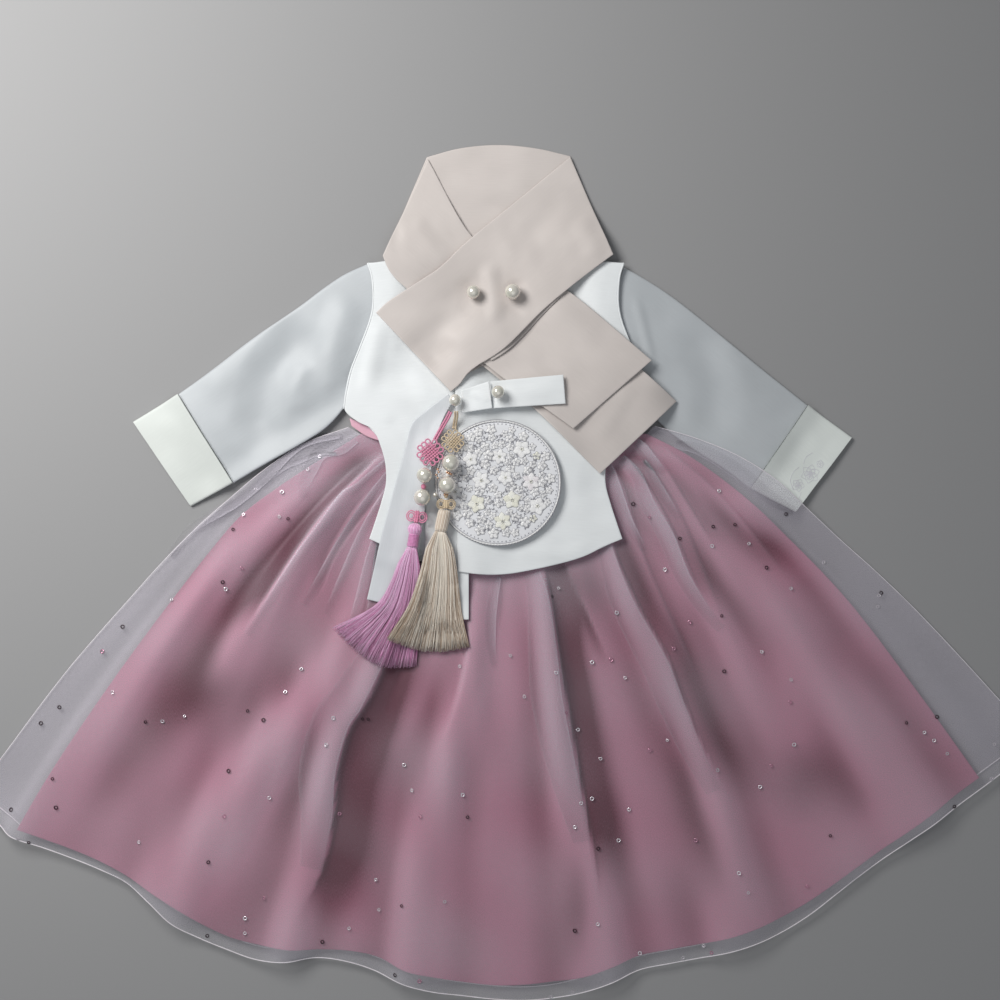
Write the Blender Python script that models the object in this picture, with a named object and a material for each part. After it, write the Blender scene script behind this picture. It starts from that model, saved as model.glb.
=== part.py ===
"""A hanbok for a one-year-old girl, laid flat on a table.

Metres, +Z up. The origin is on the table under the centre of the round embroidered patch, +Y points
to the collar and +X to the wearer's left sleeve as it lies. Tables below are in millimetres.
Each cloth piece is laid on the pile of those before it, from the skirt's back to the tassels.
"""

import math

import bmesh
import bpy
import numpy as np
from mathutils import Vector
from mathutils.bvhtree import BVHTree

MM = 0.001

# Thickness of each cloth and the gap that neighbouring pieces keep, in millimetres.
ORGANZA_WALL = 1.0
LINING_WALL = 1.2
SATIN_WALL = 1.4
SCARF_WALL = 1.5
LAYER_GAP = 0.5
SEAM_GAP = 0.3

# The skirt's outlines, from the waist to the hem or from left to right.
ORGANZA_LEFT = (
    (-134, 50), (-162, 41), (-192, 25), (-228, -3), (-283, -52), (-338, -112), (-393, -176), (-463, -270),
)
ORGANZA_RIGHT = (
    (140, 51), (180, 39), (221, 21), (248, 3), (302, -46), (354, -93), (403, -143), (475, -222),
)
LINING_LEFT = (
    (-123, 44), (-173, 12), (-228, -27), (-272, -79), (-332, -159), (-393, -248), (-430, -310),
)
LINING_RIGHT = (
    (133, 44), (160, 31), (201, 3), (246, -36), (312, -104), (378, -190), (431, -264),
)
ORGANZA_HEM = (
    (-434, -317), (-380, -337), (-328, -361), (-283, -400), (-212, -428), (-173, -425), (-127, -431),
    (-65, -454), (23, -464), (82, -454), (125, -437), (202, -421), (263, -398), (331, -347), (434, -273),
)
LINING_HEM = (
    (-430, -311), (-356, -341), (-302, -373), (-248, -406), (-195, -418), (-121, -423), (-77, -440),
    (0, -453), (75, -445), (125, -427), (200, -412), (263, -388), (339, -336), (431, -268),
)
ORGANZA_LEFT_CORNER = (-471, -287)
ORGANZA_RIGHT_CORNER = (483, -237)
# The waist's middle, the point that the hem draws in to, and how far the back's hems lie in from the front's.
WAIST_MIDDLE = (5, 42)
SKIRT_CENTRE = (0, 60)
ORGANZA_BACK_HEM_RISE = 11
LINING_BACK_HEM_RISE = 15
NEXT_ROW_SHARE = 0.6
SKIRT_COLUMNS = 36
SKIRT_ROWS = 12
MARGIN_COLUMNS = 3

# The skirt's largest folds: crest from the waist down, height, and how far it slopes to each side.
FOLD_COLUMNS = ("crest", "height", "left_width", "right_width")
SKIRT_FOLDS = (
    (((-170, -5), (-258, -85), (-329, -173), (-407, -275), (-450, -330)), 7.0, 34, 46),
    (((-112, 15), (-145, -16), (-173, -52), (-201, -94), (-233, -143)), 7.0, 20, 44),
    (((-105, -75), (-121, -118), (-159, -190), (-201, -237), (-238, -281), (-310, -400)), 8.0, 52, 52),
    (((-90, -110), (-105, -164), (-130, -213), (-143, -258), (-153, -320), (-190, -440)), 9.0, 46, 22),
    (((-25, -70), (-25, -145), (-34, -208), (-52, -260), (-70, -340), (-78, -450)), 8.0, 36, 44),
    (((38, -66), (47, -102), (56, -170), (68, -241), (82, -321), (90, -380), (98, -460)), 9.0, 46, 20),
    (((98, -40), (118, -96), (144, -143), (163, -195), (188, -254), (205, -320), (220, -430)), 8.0, 36, 34),
    (((112, 25), (131, -1), (151, -34), (173, -86), (204, -132), (240, -190), (270, -250)), 5.0, 26, 30),
    (((135, 22), (160, -24), (200, -62), (250, -110), (282, -176), (330, -240), (385, -310)), 7.0, 44, 52),
    (((225, -10), (300, -85), (365, -150), (420, -215), (465, -275)), 6.0, 36, 30),
)
SKIRT_AIR = 2.0
SKIRT_EDGE_LIFT = 0.8

# The jacket, from the shoulder down. The right side mirrors the left about JACKET_MIDDLE.
JACKET_MIDDLE = -2
JACKET_SIDE = (
    (-116, 197), (-112, 183), (-111, 162), (-114, 145), (-123, 121), (-131, 100), (-135, 81), (-137, 66),
    (-134, 58), (-122, 54), (-113, 49), (-106, 36), (-101, 20), (-100, 0), (-106, -23), (-115, -50),
)
JACKET_HEM = (
    (-115, -50), (-100, -57), (-70, -70), (-36, -79), (2, -82),
    (38, -76), (70, -68), (95, -57), (111, -43),
)
JACKET_SHOULDER = ((-114, 197), (-60, 206), (0, 208), (60, 206), (110, 197))
OVER_FRONT_EDGE = ((52, 200), (12, 150), (-35, 100), (-38, 75), (-37, 48), (-37, 0), (-36, -79))
# How far the jacket's back lies inside the front at its sides, and above it at the hem.
JACKET_BACK_INSET = 1.2
JACKET_BACK_RISE = 2.0
UNDER_FRONT_EDGE = ((-62, 200), (-46, 150), (-30, 90), (-24, 40), (-22, -10), (-20, -77))

# Each sleeve's upper and lower edge, from the armhole to the cuff's opening.
LEFT_SLEEVE_TOP = ((-117, 197), (-144, 184), (-178, 159), (-220, 130), (-259, 100), (-287, 80))
LEFT_SLEEVE_LOW = ((-138, 67), (-150, 53), (-163, 43), (-185, 30), (-210, 16), (-237, 0))
LEFT_CUFF_END = ((-328, 55), (-276, -21))
RIGHT_SLEEVE_TOP = ((113, 194), (144, 176), (174, 154), (206, 128), (239, 101), (278, 70))
RIGHT_SLEEVE_LOW = ((134, 67), (147, 52), (160, 41), (182, 26), (204, 12), (226, -5))
RIGHT_CUFF_END = ((318, 41), (267, -26))
ARMHOLE = (
    (-117, 197), (-113, 183), (-112, 162), (-115, 145),
    (-124, 121), (-132, 100), (-136, 81), (-138, 67),
)
SLEEVE_PUFF = 3.2
CUFF_PUFF = 1.6
TUBE_AIR = 0.5
TUBE_ROWS = 7
SLEEVE_SECTIONS = 10

# The scarf, a satin band: each stretch by its two long edges.
SCARF_BACK_TOP = ((-64, 293), (-34, 301), (0, 304), (34, 301), (65, 294))
SCARF_BACK_LOW = ((-103, 202), (-50, 198), (0, 197), (50, 198), (103, 204))
SCARF_UNDER_TOP = ((-63, 291), (-24, 222), (14, 199), (64, 171), (137, 109))
SCARF_UNDER_LOW = ((-103, 203), (-95, 186), (-82, 174), (-45, 138), (-3, 99), (67, 48))
SCARF_PLY_TOP = ((20, 170), (90, 132), (160, 73))
SCARF_PLY_LOW = ((-18, 108), (32, 66), (91, 8))
SCARF_OVER_TOP = ((65, 293), (-22, 221), (-50, 194), (-67, 182), (-98, 162), (-109, 152))
SCARF_OVER_LOW = ((103, 204), (75, 183), (40, 154), (6, 120), (-23, 101), (-32, 90), (-42, 81))

# The ties: long edges of each strip.
KNOT_WRAP_TOP = ((-33, 82), (-8, 90))
KNOT_WRAP_LOW = ((-32, 62), (-5, 66))
LOOP_TAB_TOP = ((-7, 90), (25, 93), (58, 96))
LOOP_TAB_LOW = ((-4, 66), (28, 68), (60, 70))
LONG_TIE_LEFT = (
    (-44, 79), (-56, 70), (-68, 61), (-75, 55), (-78, 50), (-80, 42),
    (-86, 19), (-94, -10), (-104, -47), (-111, -78), (-117, -104),
)
LONG_TIE_RIGHT = (
    (-40, 73), (-44, 66), (-49, 56), (-53, 46), (-55, 38), (-57, 26),
    (-60, 8), (-64, -18), (-69, -52), (-73, -84), (-76, -114),
)
SHORT_TIE_LEFT = ((-64, 20), (-65, -50), (-66, -122))
SHORT_TIE_RIGHT = ((-27, 20), (-26, -50), (-26, -122))

WAISTBAND_TOP = ((-133, 58), (-115, 52), (-70, 50), (0, 49), (66, 50), (111, 52), (129, 58))
WAISTBAND_LOW = ((-131, 51), (-113, 40), (-70, 30), (0, 28), (66, 30), (109, 40), (127, 51))

CORD_RADIUS = 1.3
# How far a bead's footprint on the pile reaches, as a share of its radius, and its facets.
BEAD_FOOTPRINT = 0.5
BEAD_SEGMENTS = 10
BEAD_RINGS = 6

# Each kind of knot: its name, the lobes round its outline and its wall. Then its relief.
KNOTS = (("lattice", 8, 3.0), ("butterfly", 4, 2.6))
KNOT_LOBE_DEPTH = 0.12
KNOT_CROWN = 1.2
KNOT_WEAVE = 0.5
KNOT_RINGS = 3
KNOT_SPOKES = 24

PATCH_RADIUS = 56
PATCH_RIM_START = 0.9
PATCH_PETALS = 5
PATCH_WALL = 1.6
PATCH_RIM_HEIGHT = 1.2
PATCH_RELIEF = 1.8
PATCH_RINGS = 8
PATCH_SPOKES = 40

# Loose pearls used as buttons: place and diameter.
BUTTON_PEARLS = (
    ("scarf_pearl_left", (-22, 170), 12.5),
    ("scarf_pearl_right", (13, 170), 14.5),
    ("tab_pearl", (0, 80), 12.0),
    ("knot_pearl", (-38, 73), 11.0),
)

# The two hanging ornaments: where each piece lies and how large it is.
NORIGAE = (
    {
        "name": "pink",
        "colour": (0.72, 0.16, 0.36),
        "tassel_colour": (0.62, 0.22, 0.50),
        "cord": ((-42, 63), (-45, 57), (-51, 47), (-56, 38)),
        "lattice": ((-60, 27), 27, 22),
        "pearls": (((-65, 6.5), 14.4), ((-67, -13), 15.5)),
        "spacer": ((-66, -3.4), 5.0),
        "butterfly": ((-72, -30), 20, 12),
        "head": ((-74, -38), (-76, -57)),
        "left": ((-81, -58), (-88, -70), (-96, -90), (-110, -110), (-148, -130)),
        "right": ((-71, -58), (-69, -80), (-70, -110), (-72, -140), (-74, -165)),
        "bottom_bow": 14,
    },
    {
        "name": "beige",
        "colour": (0.56, 0.43, 0.24),
        "tassel_colour": (0.50, 0.42, 0.30),
        "cord": ((-37, 63), (-37, 59), (-38, 54), (-39, 48)),
        "lattice": ((-40, 37), 22, 20),
        "pearls": (((-42, 17.5), 16.0), ((-45, -2), 16.0)),
        "spacer": ((-46, -12), 3.6),
        "butterfly": ((-46, -19), 19, 10),
        "head": ((-47, -25), (-51, -43)),
        "left": ((-56, -44), (-64, -58), (-69, -80), (-80, -110), (-99, -140)),
        "right": ((-46, -44), (-40, -58), (-36, -85), (-33, -115), (-26, -147)),
        "bottom_bow": 8,
    },
)
TASSEL_COLUMNS = 10
TASSEL_LAYERS = 3
TASSEL_STATIONS = 4
TASSEL_LAYER_THICKNESS = 1.3
TASSEL_LOCK_GAP = 0.45
TASSEL_ROOT_INSET = 0.12
TASSEL_FLOOR_GAP = 0.8
TASSEL_HEAD_AXIS = 4.2
# A tassel's bound head: share of its length, half width and half height of the section there.
TASSEL_HEAD = (
    (0.0, 2.0, 2.0), (0.1, 5.0, 3.6), (0.38, 6.0, 4.2), (0.5, 4.4, 3.4), (0.62, 4.0, 3.2), (1.0, 5.0, 1.95),
)

# Each cloth's colour and roughness.
FINISHES = {
    "organza": ((0.72, 0.66, 0.71), 0.45),
    "lining": ((0.42, 0.16, 0.22), 0.7),
    "waistband": ((0.55, 0.24, 0.30), 0.6),
    "satin": ((0.72, 0.75, 0.78), 0.32),
    "cuff": ((0.80, 0.81, 0.76), 0.36),
    "scarf": ((0.76, 0.65, 0.59), 0.36),
    "patch": ((0.74, 0.74, 0.72), 0.4),
    "pearl": ((0.85, 0.80, 0.72), 0.4),
}


def clear_scene():
    for old in list(bpy.data.objects):
        bpy.data.objects.remove(old, do_unlink=True)


def make_material(name, colour, roughness):
    """A plain Principled material."""
    material = bpy.data.materials.new(name)
    material.use_nodes = True
    shader = material.node_tree.nodes["Principled BSDF"]
    shader.inputs["Base Color"].default_value = (*colour, 1.0)
    shader.inputs["Roughness"].default_value = roughness
    return material


def smooth_curve(points, count):
    """`count` evenly spaced points on a smooth curve through `points`."""
    knots = np.array(points, float)
    ends = np.vstack([2 * knots[0] - knots[1], knots, 2 * knots[-1] - knots[-2]])
    fine = []
    for start in range(len(knots) - 1):
        before, first, second, after = ends[start : start + 4]
        for u in np.linspace(0, 1, 12, endpoint=False):
            slope = (second - before) * u
            bend = (2 * before - 5 * first + 4 * second - after) * u**2
            twist = (3 * first - before - 3 * second + after) * u**3
            fine.append(0.5 * (2 * first + slope + bend + twist))
    fine.append(knots[-1])
    fine = np.array(fine)
    lengths = np.linalg.norm(np.diff(fine, axis=0), axis=1)
    along = np.concatenate([[0], np.cumsum(lengths)])
    wanted = np.linspace(0, along[-1], count)
    return np.column_stack([np.interp(wanted, along, axis) for axis in fine.T])


def between(first, second, count):
    """Points evenly spread between matching points of two edges, one row for each point."""
    share = np.linspace(0, 1, count)[None, :, None]
    return first[:, None] * (1 - share) + second[:, None] * share


def patch_grid(left, right, top, low):
    """A grid that fills four edges: left and right run down, top and low run across."""
    down = np.linspace(0, 1, len(left))[:, None, None]
    across = np.linspace(0, 1, len(top))[None, :, None]
    sides = (1 - across) * left[:, None] + across * right[:, None]
    ends = (1 - down) * top[None] + down * low[None]
    upper = (1 - across) * top[0] + across * top[-1]
    lower = (1 - across) * low[0] + across * low[-1]
    return sides + ends - (1 - down) * upper - down * lower


def ramp(value, start, end):
    share = np.clip((value - start) / (end - start), 0, 1)
    return share * share * (3 - 2 * share)


def fold_height(x, y, folds):
    """Height of the summed folds over plan points in millimetres."""
    points = np.stack([x, y], axis=-1)
    total = np.zeros(x.shape)
    for row in folds:
        fold = dict(zip(FOLD_COLUMNS, row))
        crest = np.array(fold["crest"], float)
        lengths = np.linalg.norm(np.diff(crest, axis=0), axis=1)
        starts = np.concatenate([[0], np.cumsum(lengths)])
        nearest = np.full(x.shape, 1e9)
        offset = np.zeros(x.shape)
        along = np.zeros(x.shape)
        for index, length in enumerate(lengths):
            first = crest[index]
            way = (crest[index + 1] - first) / length
            reach = np.clip((points - first) @ way, 0, length)
            gap = points - (first + reach[..., None] * way)
            distance = np.linalg.norm(gap, axis=-1)
            side = gap[..., 0] * -way[1] + gap[..., 1] * way[0]
            closer = distance < nearest
            nearest = np.where(closer, distance, nearest)
            offset = np.where(closer, distance * np.where(side < 0, -1.0, 1.0), offset)
            along = np.where(closer, (starts[index] + reach) / starts[-1], along)
        # The crest runs down the skirt, so its left-hand side as drawn is the positive one here.
        width = np.where(offset > 0, fold["right_width"], fold["left_width"])
        width = width * (0.5 + 0.5 * along)
        shape = np.cos(np.clip(np.abs(offset) / width, 0, 1) * math.pi / 2) ** 2
        total += fold["height"] * ramp(along, -0.12, 0.35) * shape
    return total


class Pile:
    """The height of everything laid down so far, on a square raster, in millimetres."""

    STEP = 3.0
    LOW = np.array((-486.0, -480.0))
    SIZE = (330, 270)

    def __init__(self):
        self.top = np.zeros(self.SIZE)

    def cells(self, x, y):
        column = np.clip((np.asarray(x) - self.LOW[0]) / self.STEP, 0, self.SIZE[0] - 1.001)
        row = np.clip((np.asarray(y) - self.LOW[1]) / self.STEP, 0, self.SIZE[1] - 1.001)
        return column, row

    def lay(self, obj):
        """Adds an object's upper surface to the pile."""
        graph = bpy.context.evaluated_depsgraph_get()
        tree = BVHTree.FromObject(obj, graph)
        corners = np.array([obj.matrix_world @ vertex.co for vertex in obj.data.vertices]) / MM
        first = self.cells(*corners.min(axis=0)[:2])
        last = self.cells(*corners.max(axis=0)[:2])
        for column in range(int(first[0]), int(last[0]) + 2):
            for row in range(int(first[1]), int(last[1]) + 2):
                x = self.LOW[0] + column * self.STEP
                y = self.LOW[1] + row * self.STEP
                hit = tree.ray_cast(Vector((x * MM, y * MM, 1)), Vector((0, 0, -1)))[0]
                if hit is not None and column < self.SIZE[0] and row < self.SIZE[1]:
                    self.top[column, row] = max(self.top[column, row], hit.z / MM)

    def rest(self, x, y, reach=18.0, soften=6.0):
        """Height that clears the pile within `reach` of each point, softened like draped cloth."""
        steps = int(round(reach / self.STEP))
        high = self.top.copy()
        for across in range(-steps, steps + 1):
            for along in range(-steps, steps + 1):
                if across * across + along * along <= steps * steps:
                    high = np.maximum(high, np.roll(self.top, (across, along), (0, 1)))
        steps = int(round(soften / self.STEP))
        total = np.zeros(self.SIZE)
        for across in range(-steps, steps + 1):
            for along in range(-steps, steps + 1):
                total += np.roll(high, (across, along), (0, 1))
        total /= (2 * steps + 1) ** 2
        column, row = self.cells(x, y)
        first, second = column.astype(int), row.astype(int)
        u, v = column - first, row - second
        lower = total[first, second] * (1 - u) + total[first + 1, second] * u
        upper = total[first, second + 1] * (1 - u) + total[first + 1, second + 1] * u
        return lower * (1 - v) + upper * v


def add_mesh(name, vertices, faces, material, collection):
    """An object from points in millimetres, with its faces turned outwards."""
    mesh = bpy.data.meshes.new(name)
    mesh.from_pydata([tuple(point * MM) for point in vertices], [], faces)
    shape = bmesh.new()
    shape.from_mesh(mesh)
    bmesh.ops.recalc_face_normals(shape, faces=shape.faces)
    if shape.calc_volume(signed=True) < 0:
        bmesh.ops.reverse_faces(shape, faces=shape.faces)
    shape.to_mesh(mesh)
    shape.free()
    mesh.shade_smooth()
    mesh.set_sharp_from_angle(angle=math.radians(50))
    mesh.materials.append(material)
    obj = bpy.data.objects.new(name, mesh)
    collection.objects.link(obj)
    return obj


def panel_faces(rows, columns):
    """Faces of a slab whose lower points come first, then its upper ones."""
    upper = rows * columns
    faces = []
    for row in range(rows - 1):
        for column in range(columns - 1):
            corner = row * columns + column
            across = corner + columns + 1
            # Every panel is cut along the same diagonal, so that one lies evenly on another.
            for half in ((corner, corner + 1, across), (corner, across, corner + columns)):
                faces.append(half)
                faces.append(tuple(upper + point for point in reversed(half)))
    rim = [column for column in range(columns)]
    rim += [row * columns + columns - 1 for row in range(1, rows)]
    rim += [(rows - 1) * columns + column for column in range(columns - 2, -1, -1)]
    rim += [row * columns for row in range(rows - 2, 0, -1)]
    for first, second in zip(rim, rim[1:] + rim[:1]):
        faces.append((second, first, upper + first, upper + second))
    return faces


def add_panel(name, grid, bottom, wall, material, collection):
    """A cloth panel of even thickness over plan points, its underside at the heights `bottom`."""
    rows, columns = bottom.shape
    lower = np.dstack([grid, bottom]).reshape(-1, 3)
    upper = np.dstack([grid, bottom + wall]).reshape(-1, 3)
    vertices = np.vstack([lower, upper])
    return add_mesh(name, vertices, panel_faces(rows, columns), material, collection)


def lay_panel(name, grid, wall, material, collection, pile, reach=18.0):
    """A panel that rests on the pile."""
    rest = pile.rest(grid[..., 0], grid[..., 1], reach)
    bottom = rest + LAYER_GAP * np.clip(rest / LAYER_GAP, 0, 1)
    obj = add_panel(name, grid, bottom, wall, material, collection)
    pile.lay(obj)
    return obj


def lay_strip(name, top, low, rows, columns, wall, material, collection, pile):
    """A panel between two long edges."""
    first = smooth_curve(top, columns)
    second = smooth_curve(low, columns)
    grid = np.transpose(between(first, second, rows), (1, 0, 2))
    return lay_panel(name, grid, wall, material, collection, pile)


def lay_tube(name, grid, puff, wall, material, collection, pile):
    """A flattened tube over plan points, open at both ends. The grid's rows run along the tube."""
    across, sections = grid.shape[:2]
    inner = grid.copy()
    for edge, neighbour in ((0, 1), (-1, -2)):
        way = grid[neighbour] - grid[edge]
        inner[edge] += way / np.linalg.norm(way, axis=1)[:, None] * wall
    floor = pile.rest(grid[..., 0], grid[..., 1], reach=12.0)
    floor = floor + LAYER_GAP * np.clip(floor / LAYER_GAP, 0, 1)
    share = np.linspace(0, 1, across)[:, None]
    crown = puff * np.sin(np.pi * share) ** 0.8 * np.ones((1, sections))
    roof = floor + 2 * wall + TUBE_AIR + crown
    shells = []
    for points, under, over in ((grid, floor, roof), (inner, floor + wall, roof - wall)):
        shells += [np.dstack([points, under]), np.dstack([points, over])[::-1]]
    count = 2 * across

    def corner(shell, around, section):
        return (shell * count + around % count) * sections + section

    faces = []
    for around in range(count):
        for shell in (0, 1):
            for section in range(sections - 1):
                first, second = corner(shell, around, section), corner(shell, around, section + 1)
                third, fourth = corner(shell, around + 1, section + 1), corner(shell, around + 1, section)
                faces.append((first, second, third, fourth))
        for section in (0, sections - 1):
            first, second = corner(0, around, section), corner(0, around + 1, section)
            faces.append((first, second, corner(1, around + 1, section), corner(1, around, section)))
    obj = add_mesh(name, np.concatenate(shells).reshape(-1, 3), faces, material, collection)
    pile.lay(obj)
    return obj


def flat_outline(name, outline, bottom, wall, material, collection):
    """A flat panel from its outline, as a filled 2D curve with thickness."""
    curve = bpy.data.curves.new(name, "CURVE")
    curve.dimensions = "2D"
    curve.fill_mode = "BOTH"
    curve.extrude = wall / 2 * MM
    spline = curve.splines.new("POLY")
    spline.points.add(len(outline) - 1)
    for point, (x, y) in zip(spline.points, outline):
        point.co = (x * MM, y * MM, 0, 1)
    spline.use_cyclic_u = True
    curve.materials.append(material)
    drawn = bpy.data.objects.new(name, curve)
    collection.objects.link(drawn)
    graph = bpy.context.evaluated_depsgraph_get()
    mesh = bpy.data.meshes.new_from_object(drawn.evaluated_get(graph))
    bpy.data.objects.remove(drawn)
    shape = bmesh.new()
    shape.from_mesh(mesh)
    bmesh.ops.remove_doubles(shape, verts=shape.verts, dist=1e-6)
    bmesh.ops.recalc_face_normals(shape, faces=shape.faces)
    bmesh.ops.translate(shape, verts=shape.verts, vec=(0, 0, (bottom + wall / 2) * MM))
    shape.to_mesh(mesh)
    shape.free()
    obj = bpy.data.objects.new(name, mesh)
    collection.objects.link(obj)
    return obj


def skirt_grids():
    """Plan grids of the lining and of the organza. The organza's holds every point of the lining's."""
    columns, rows, margin = SKIRT_COLUMNS, SKIRT_ROWS, MARGIN_COLUMNS
    left = smooth_curve(LINING_LEFT, rows)
    right = smooth_curve(LINING_RIGHT, rows)
    top = smooth_curve((LINING_LEFT[0], WAIST_MIDDLE, LINING_RIGHT[0]), columns)
    lining = patch_grid(left, right, top, smooth_curve(LINING_HEM, columns))
    outer_left = smooth_curve(ORGANZA_LEFT, rows)
    outer_right = smooth_curve(ORGANZA_RIGHT, rows)
    left_part = between(outer_left, left, margin + 1)[:, :-1]
    right_part = between(right, outer_right, margin + 1)[:, 1:]
    organza = np.concatenate([left_part, lining, right_part], axis=1)
    hem = smooth_curve(ORGANZA_HEM, columns)
    left_corner = between(np.array([ORGANZA_LEFT_CORNER], float), hem[:1], margin + 1)[0, :-1]
    right_corner = between(hem[-1:], np.array([ORGANZA_RIGHT_CORNER], float), margin + 1)[0, 1:]
    lowest = np.concatenate([left_corner, hem, right_corner])
    return lining, np.concatenate([organza, lowest[None]], axis=0)


def outline_of(grid):
    """The rim of a grid, once round."""
    return np.concatenate([grid[0], grid[1:, -1], grid[-1, -2::-1], grid[-2:0:-1, 0]])


def make_skirt_back(materials, collection, pile):
    lining, organza = skirt_grids()
    back = organza.copy()
    inward = np.array(SKIRT_CENTRE, float) - back[-1]
    inward /= np.linalg.norm(inward, axis=1)[:, None]
    back[-1] += inward * ORGANZA_BACK_HEM_RISE
    back[-2] += inward * ORGANZA_BACK_HEM_RISE * NEXT_ROW_SHARE
    rim = outline_of(back)
    pile.lay(flat_outline("organza_back", rim, 0.0, ORGANZA_WALL, materials["organza"], collection))
    inner = lining.copy()
    inner[-1] += inward[MARGIN_COLUMNS:-MARGIN_COLUMNS] * LINING_BACK_HEM_RISE
    rim = outline_of(inner)
    level = ORGANZA_WALL + LAYER_GAP
    pile.lay(flat_outline("lining_back", rim, level, LINING_WALL, materials["lining"], collection))


def make_skirt_front(materials, collection, pile):
    """The lining with the folds, then the organza over it, raised from the same points."""
    lining, organza = skirt_grids()
    folds = fold_height(organza[..., 0], organza[..., 1], SKIRT_FOLDS)
    rows, columns = folds.shape
    across = np.linspace(0, 1, columns)[None, :]
    inside = ramp(np.minimum(across, 1 - across), 0.0, 0.10)
    rest = pile.rest(organza[..., 0], organza[..., 1], reach=27.0, soften=6.0)
    base = rest + SKIRT_EDGE_LIFT + inside * (SKIRT_AIR + folds)
    cut = slice(MARGIN_COLUMNS, columns - MARGIN_COLUMNS)
    add = (materials["lining"], collection)
    pile.lay(add_panel("lining_front", lining, base[:-1, cut], LINING_WALL, *add))
    outer = base.copy()
    outer[:-1, cut] += LINING_WALL + LAYER_GAP
    outer[-1, cut] += 0.5 * (LINING_WALL + LAYER_GAP)
    pile.lay(add_panel("organza_front", organza, outer, ORGANZA_WALL, materials["organza"], collection))


def make_waistband(materials, collection, pile):
    args = (materials["waistband"], collection, pile)
    lay_strip("waistband", WAISTBAND_TOP, WAISTBAND_LOW, 3, 18, SATIN_WALL, *args)


def make_sleeve(side, armhole, top_edge, low_edge, cuff_end, materials, collection, pile):
    """A sleeve from the armhole to the cuff, and the cuff beyond it."""
    top = smooth_curve(top_edge, SLEEVE_SECTIONS)
    low = smooth_curve(low_edge, SLEEVE_SECTIONS)
    start = smooth_curve(armhole, TUBE_ROWS)
    start[0], start[-1] = top[0], low[0]
    end = between(top[-1:], low[-1:], TUBE_ROWS)[0]
    grid = patch_grid(top, low, start, end).transpose(1, 0, 2)
    lay_tube(f"sleeve_{side}", grid, SLEEVE_PUFF, SATIN_WALL, materials["satin"], collection, pile)
    opening = np.array(cuff_end, float)
    shares = np.linspace(SEAM_GAP / np.linalg.norm(opening[0] - top[-1]), 1, 4)[:, None]
    cuff_top = top[-1] * (1 - shares) + opening[0] * shares
    cuff_low = low[-1] * (1 - shares) + opening[1] * shares
    grid = between(cuff_top, cuff_low, TUBE_ROWS).transpose(1, 0, 2)
    lay_tube(f"cuff_{side}", grid, CUFF_PUFF, SATIN_WALL, materials["cuff"], collection, pile)


def mirrored(points):
    return tuple((2 * JACKET_MIDDLE - x, y) for x, y in points)


def make_jacket(materials, collection, pile):
    """The back, then the under front with the short tie on it, then the over front."""
    args = (SATIN_WALL, materials["satin"], collection, pile)
    rows, columns = 13, 10
    left = smooth_curve(JACKET_SIDE, rows) + np.array((JACKET_BACK_INSET, 0.0))
    right = smooth_curve(mirrored(JACKET_SIDE), rows) - np.array((JACKET_BACK_INSET, 0.0))
    shoulder = smooth_curve(JACKET_SHOULDER, columns)
    low = smooth_curve(JACKET_HEM, columns) + np.array((0.0, JACKET_BACK_RISE))
    lay_panel("jacket_back", patch_grid(left, right, shoulder, low), *args)
    rows, columns = 17, 7
    left = smooth_curve(JACKET_SIDE, rows)
    edge = smooth_curve(UNDER_FRONT_EDGE, rows)
    top = between(left[:1], edge[:1], columns)[0]
    hem = hem_part(left[-1], edge[-1], columns)
    lay_panel("jacket_under_front", patch_grid(left, edge, top, hem), *args)
    lay_strip("tie_short_tail", SHORT_TIE_LEFT, SHORT_TIE_RIGHT, 3, 10, *args)
    columns = 10
    edge = smooth_curve(OVER_FRONT_EDGE, rows)
    right = smooth_curve(mirrored(JACKET_SIDE), rows)
    top = between(edge[:1], right[:1], columns)[0]
    hem = hem_part(edge[-1], right[-1], columns)
    lay_panel("jacket_over_front", patch_grid(edge, right, top, hem), *args)


def hem_part(start, end, count):
    """The stretch of the jacket's hem between two points, at even spacing across."""
    hem = smooth_curve(JACKET_HEM, 20)
    x = np.linspace(start[0], end[0], count)
    y = np.interp(x, hem[:, 0], hem[:, 1])
    y[0], y[-1] = start[1], end[1]
    return np.column_stack([x, y])


def add_medallion(name, centre, base, rings, spokes, radius_at, height_at, wall, material, collection):
    """A flat-backed relief: `radius_at` gives its outline and `height_at` its face."""
    angles = np.arange(spokes) * 2 * math.pi / spokes
    middle = np.array((centre[0], centre[1], base))
    vertices = [middle]
    for ring in range(1, rings + 1):
        for angle in angles:
            reach = radius_at(angle) * ring / rings
            vertices.append(middle + (reach * math.cos(angle), reach * math.sin(angle), 0.0))
    lower = len(vertices)
    for index in range(lower):
        point = vertices[index].copy()
        ring = (index - 1) // spokes + 1 if index else 0
        angle = angles[(index - 1) % spokes] if index else 0.0
        point[2] += wall + height_at(ring / rings, angle)
        vertices.append(point)
    faces = []
    for spoke in range(spokes):
        after = (spoke + 1) % spokes
        faces.append((0, 1 + after, 1 + spoke))
        faces.append((lower, lower + 1 + spoke, lower + 1 + after))
        for ring in range(rings - 1):
            first, second = 1 + ring * spokes, 1 + (ring + 1) * spokes
            faces.append((first + spoke, first + after, second + after, second + spoke))
            quad = (first + after, first + spoke, second + spoke, second + after)
            faces.append(tuple(lower + point for point in quad))
        edge = 1 + (rings - 1) * spokes
        faces.append((edge + spoke, edge + after, lower + edge + after, lower + edge + spoke))
    return add_mesh(name, np.array(vertices), faces, material, collection)


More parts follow.
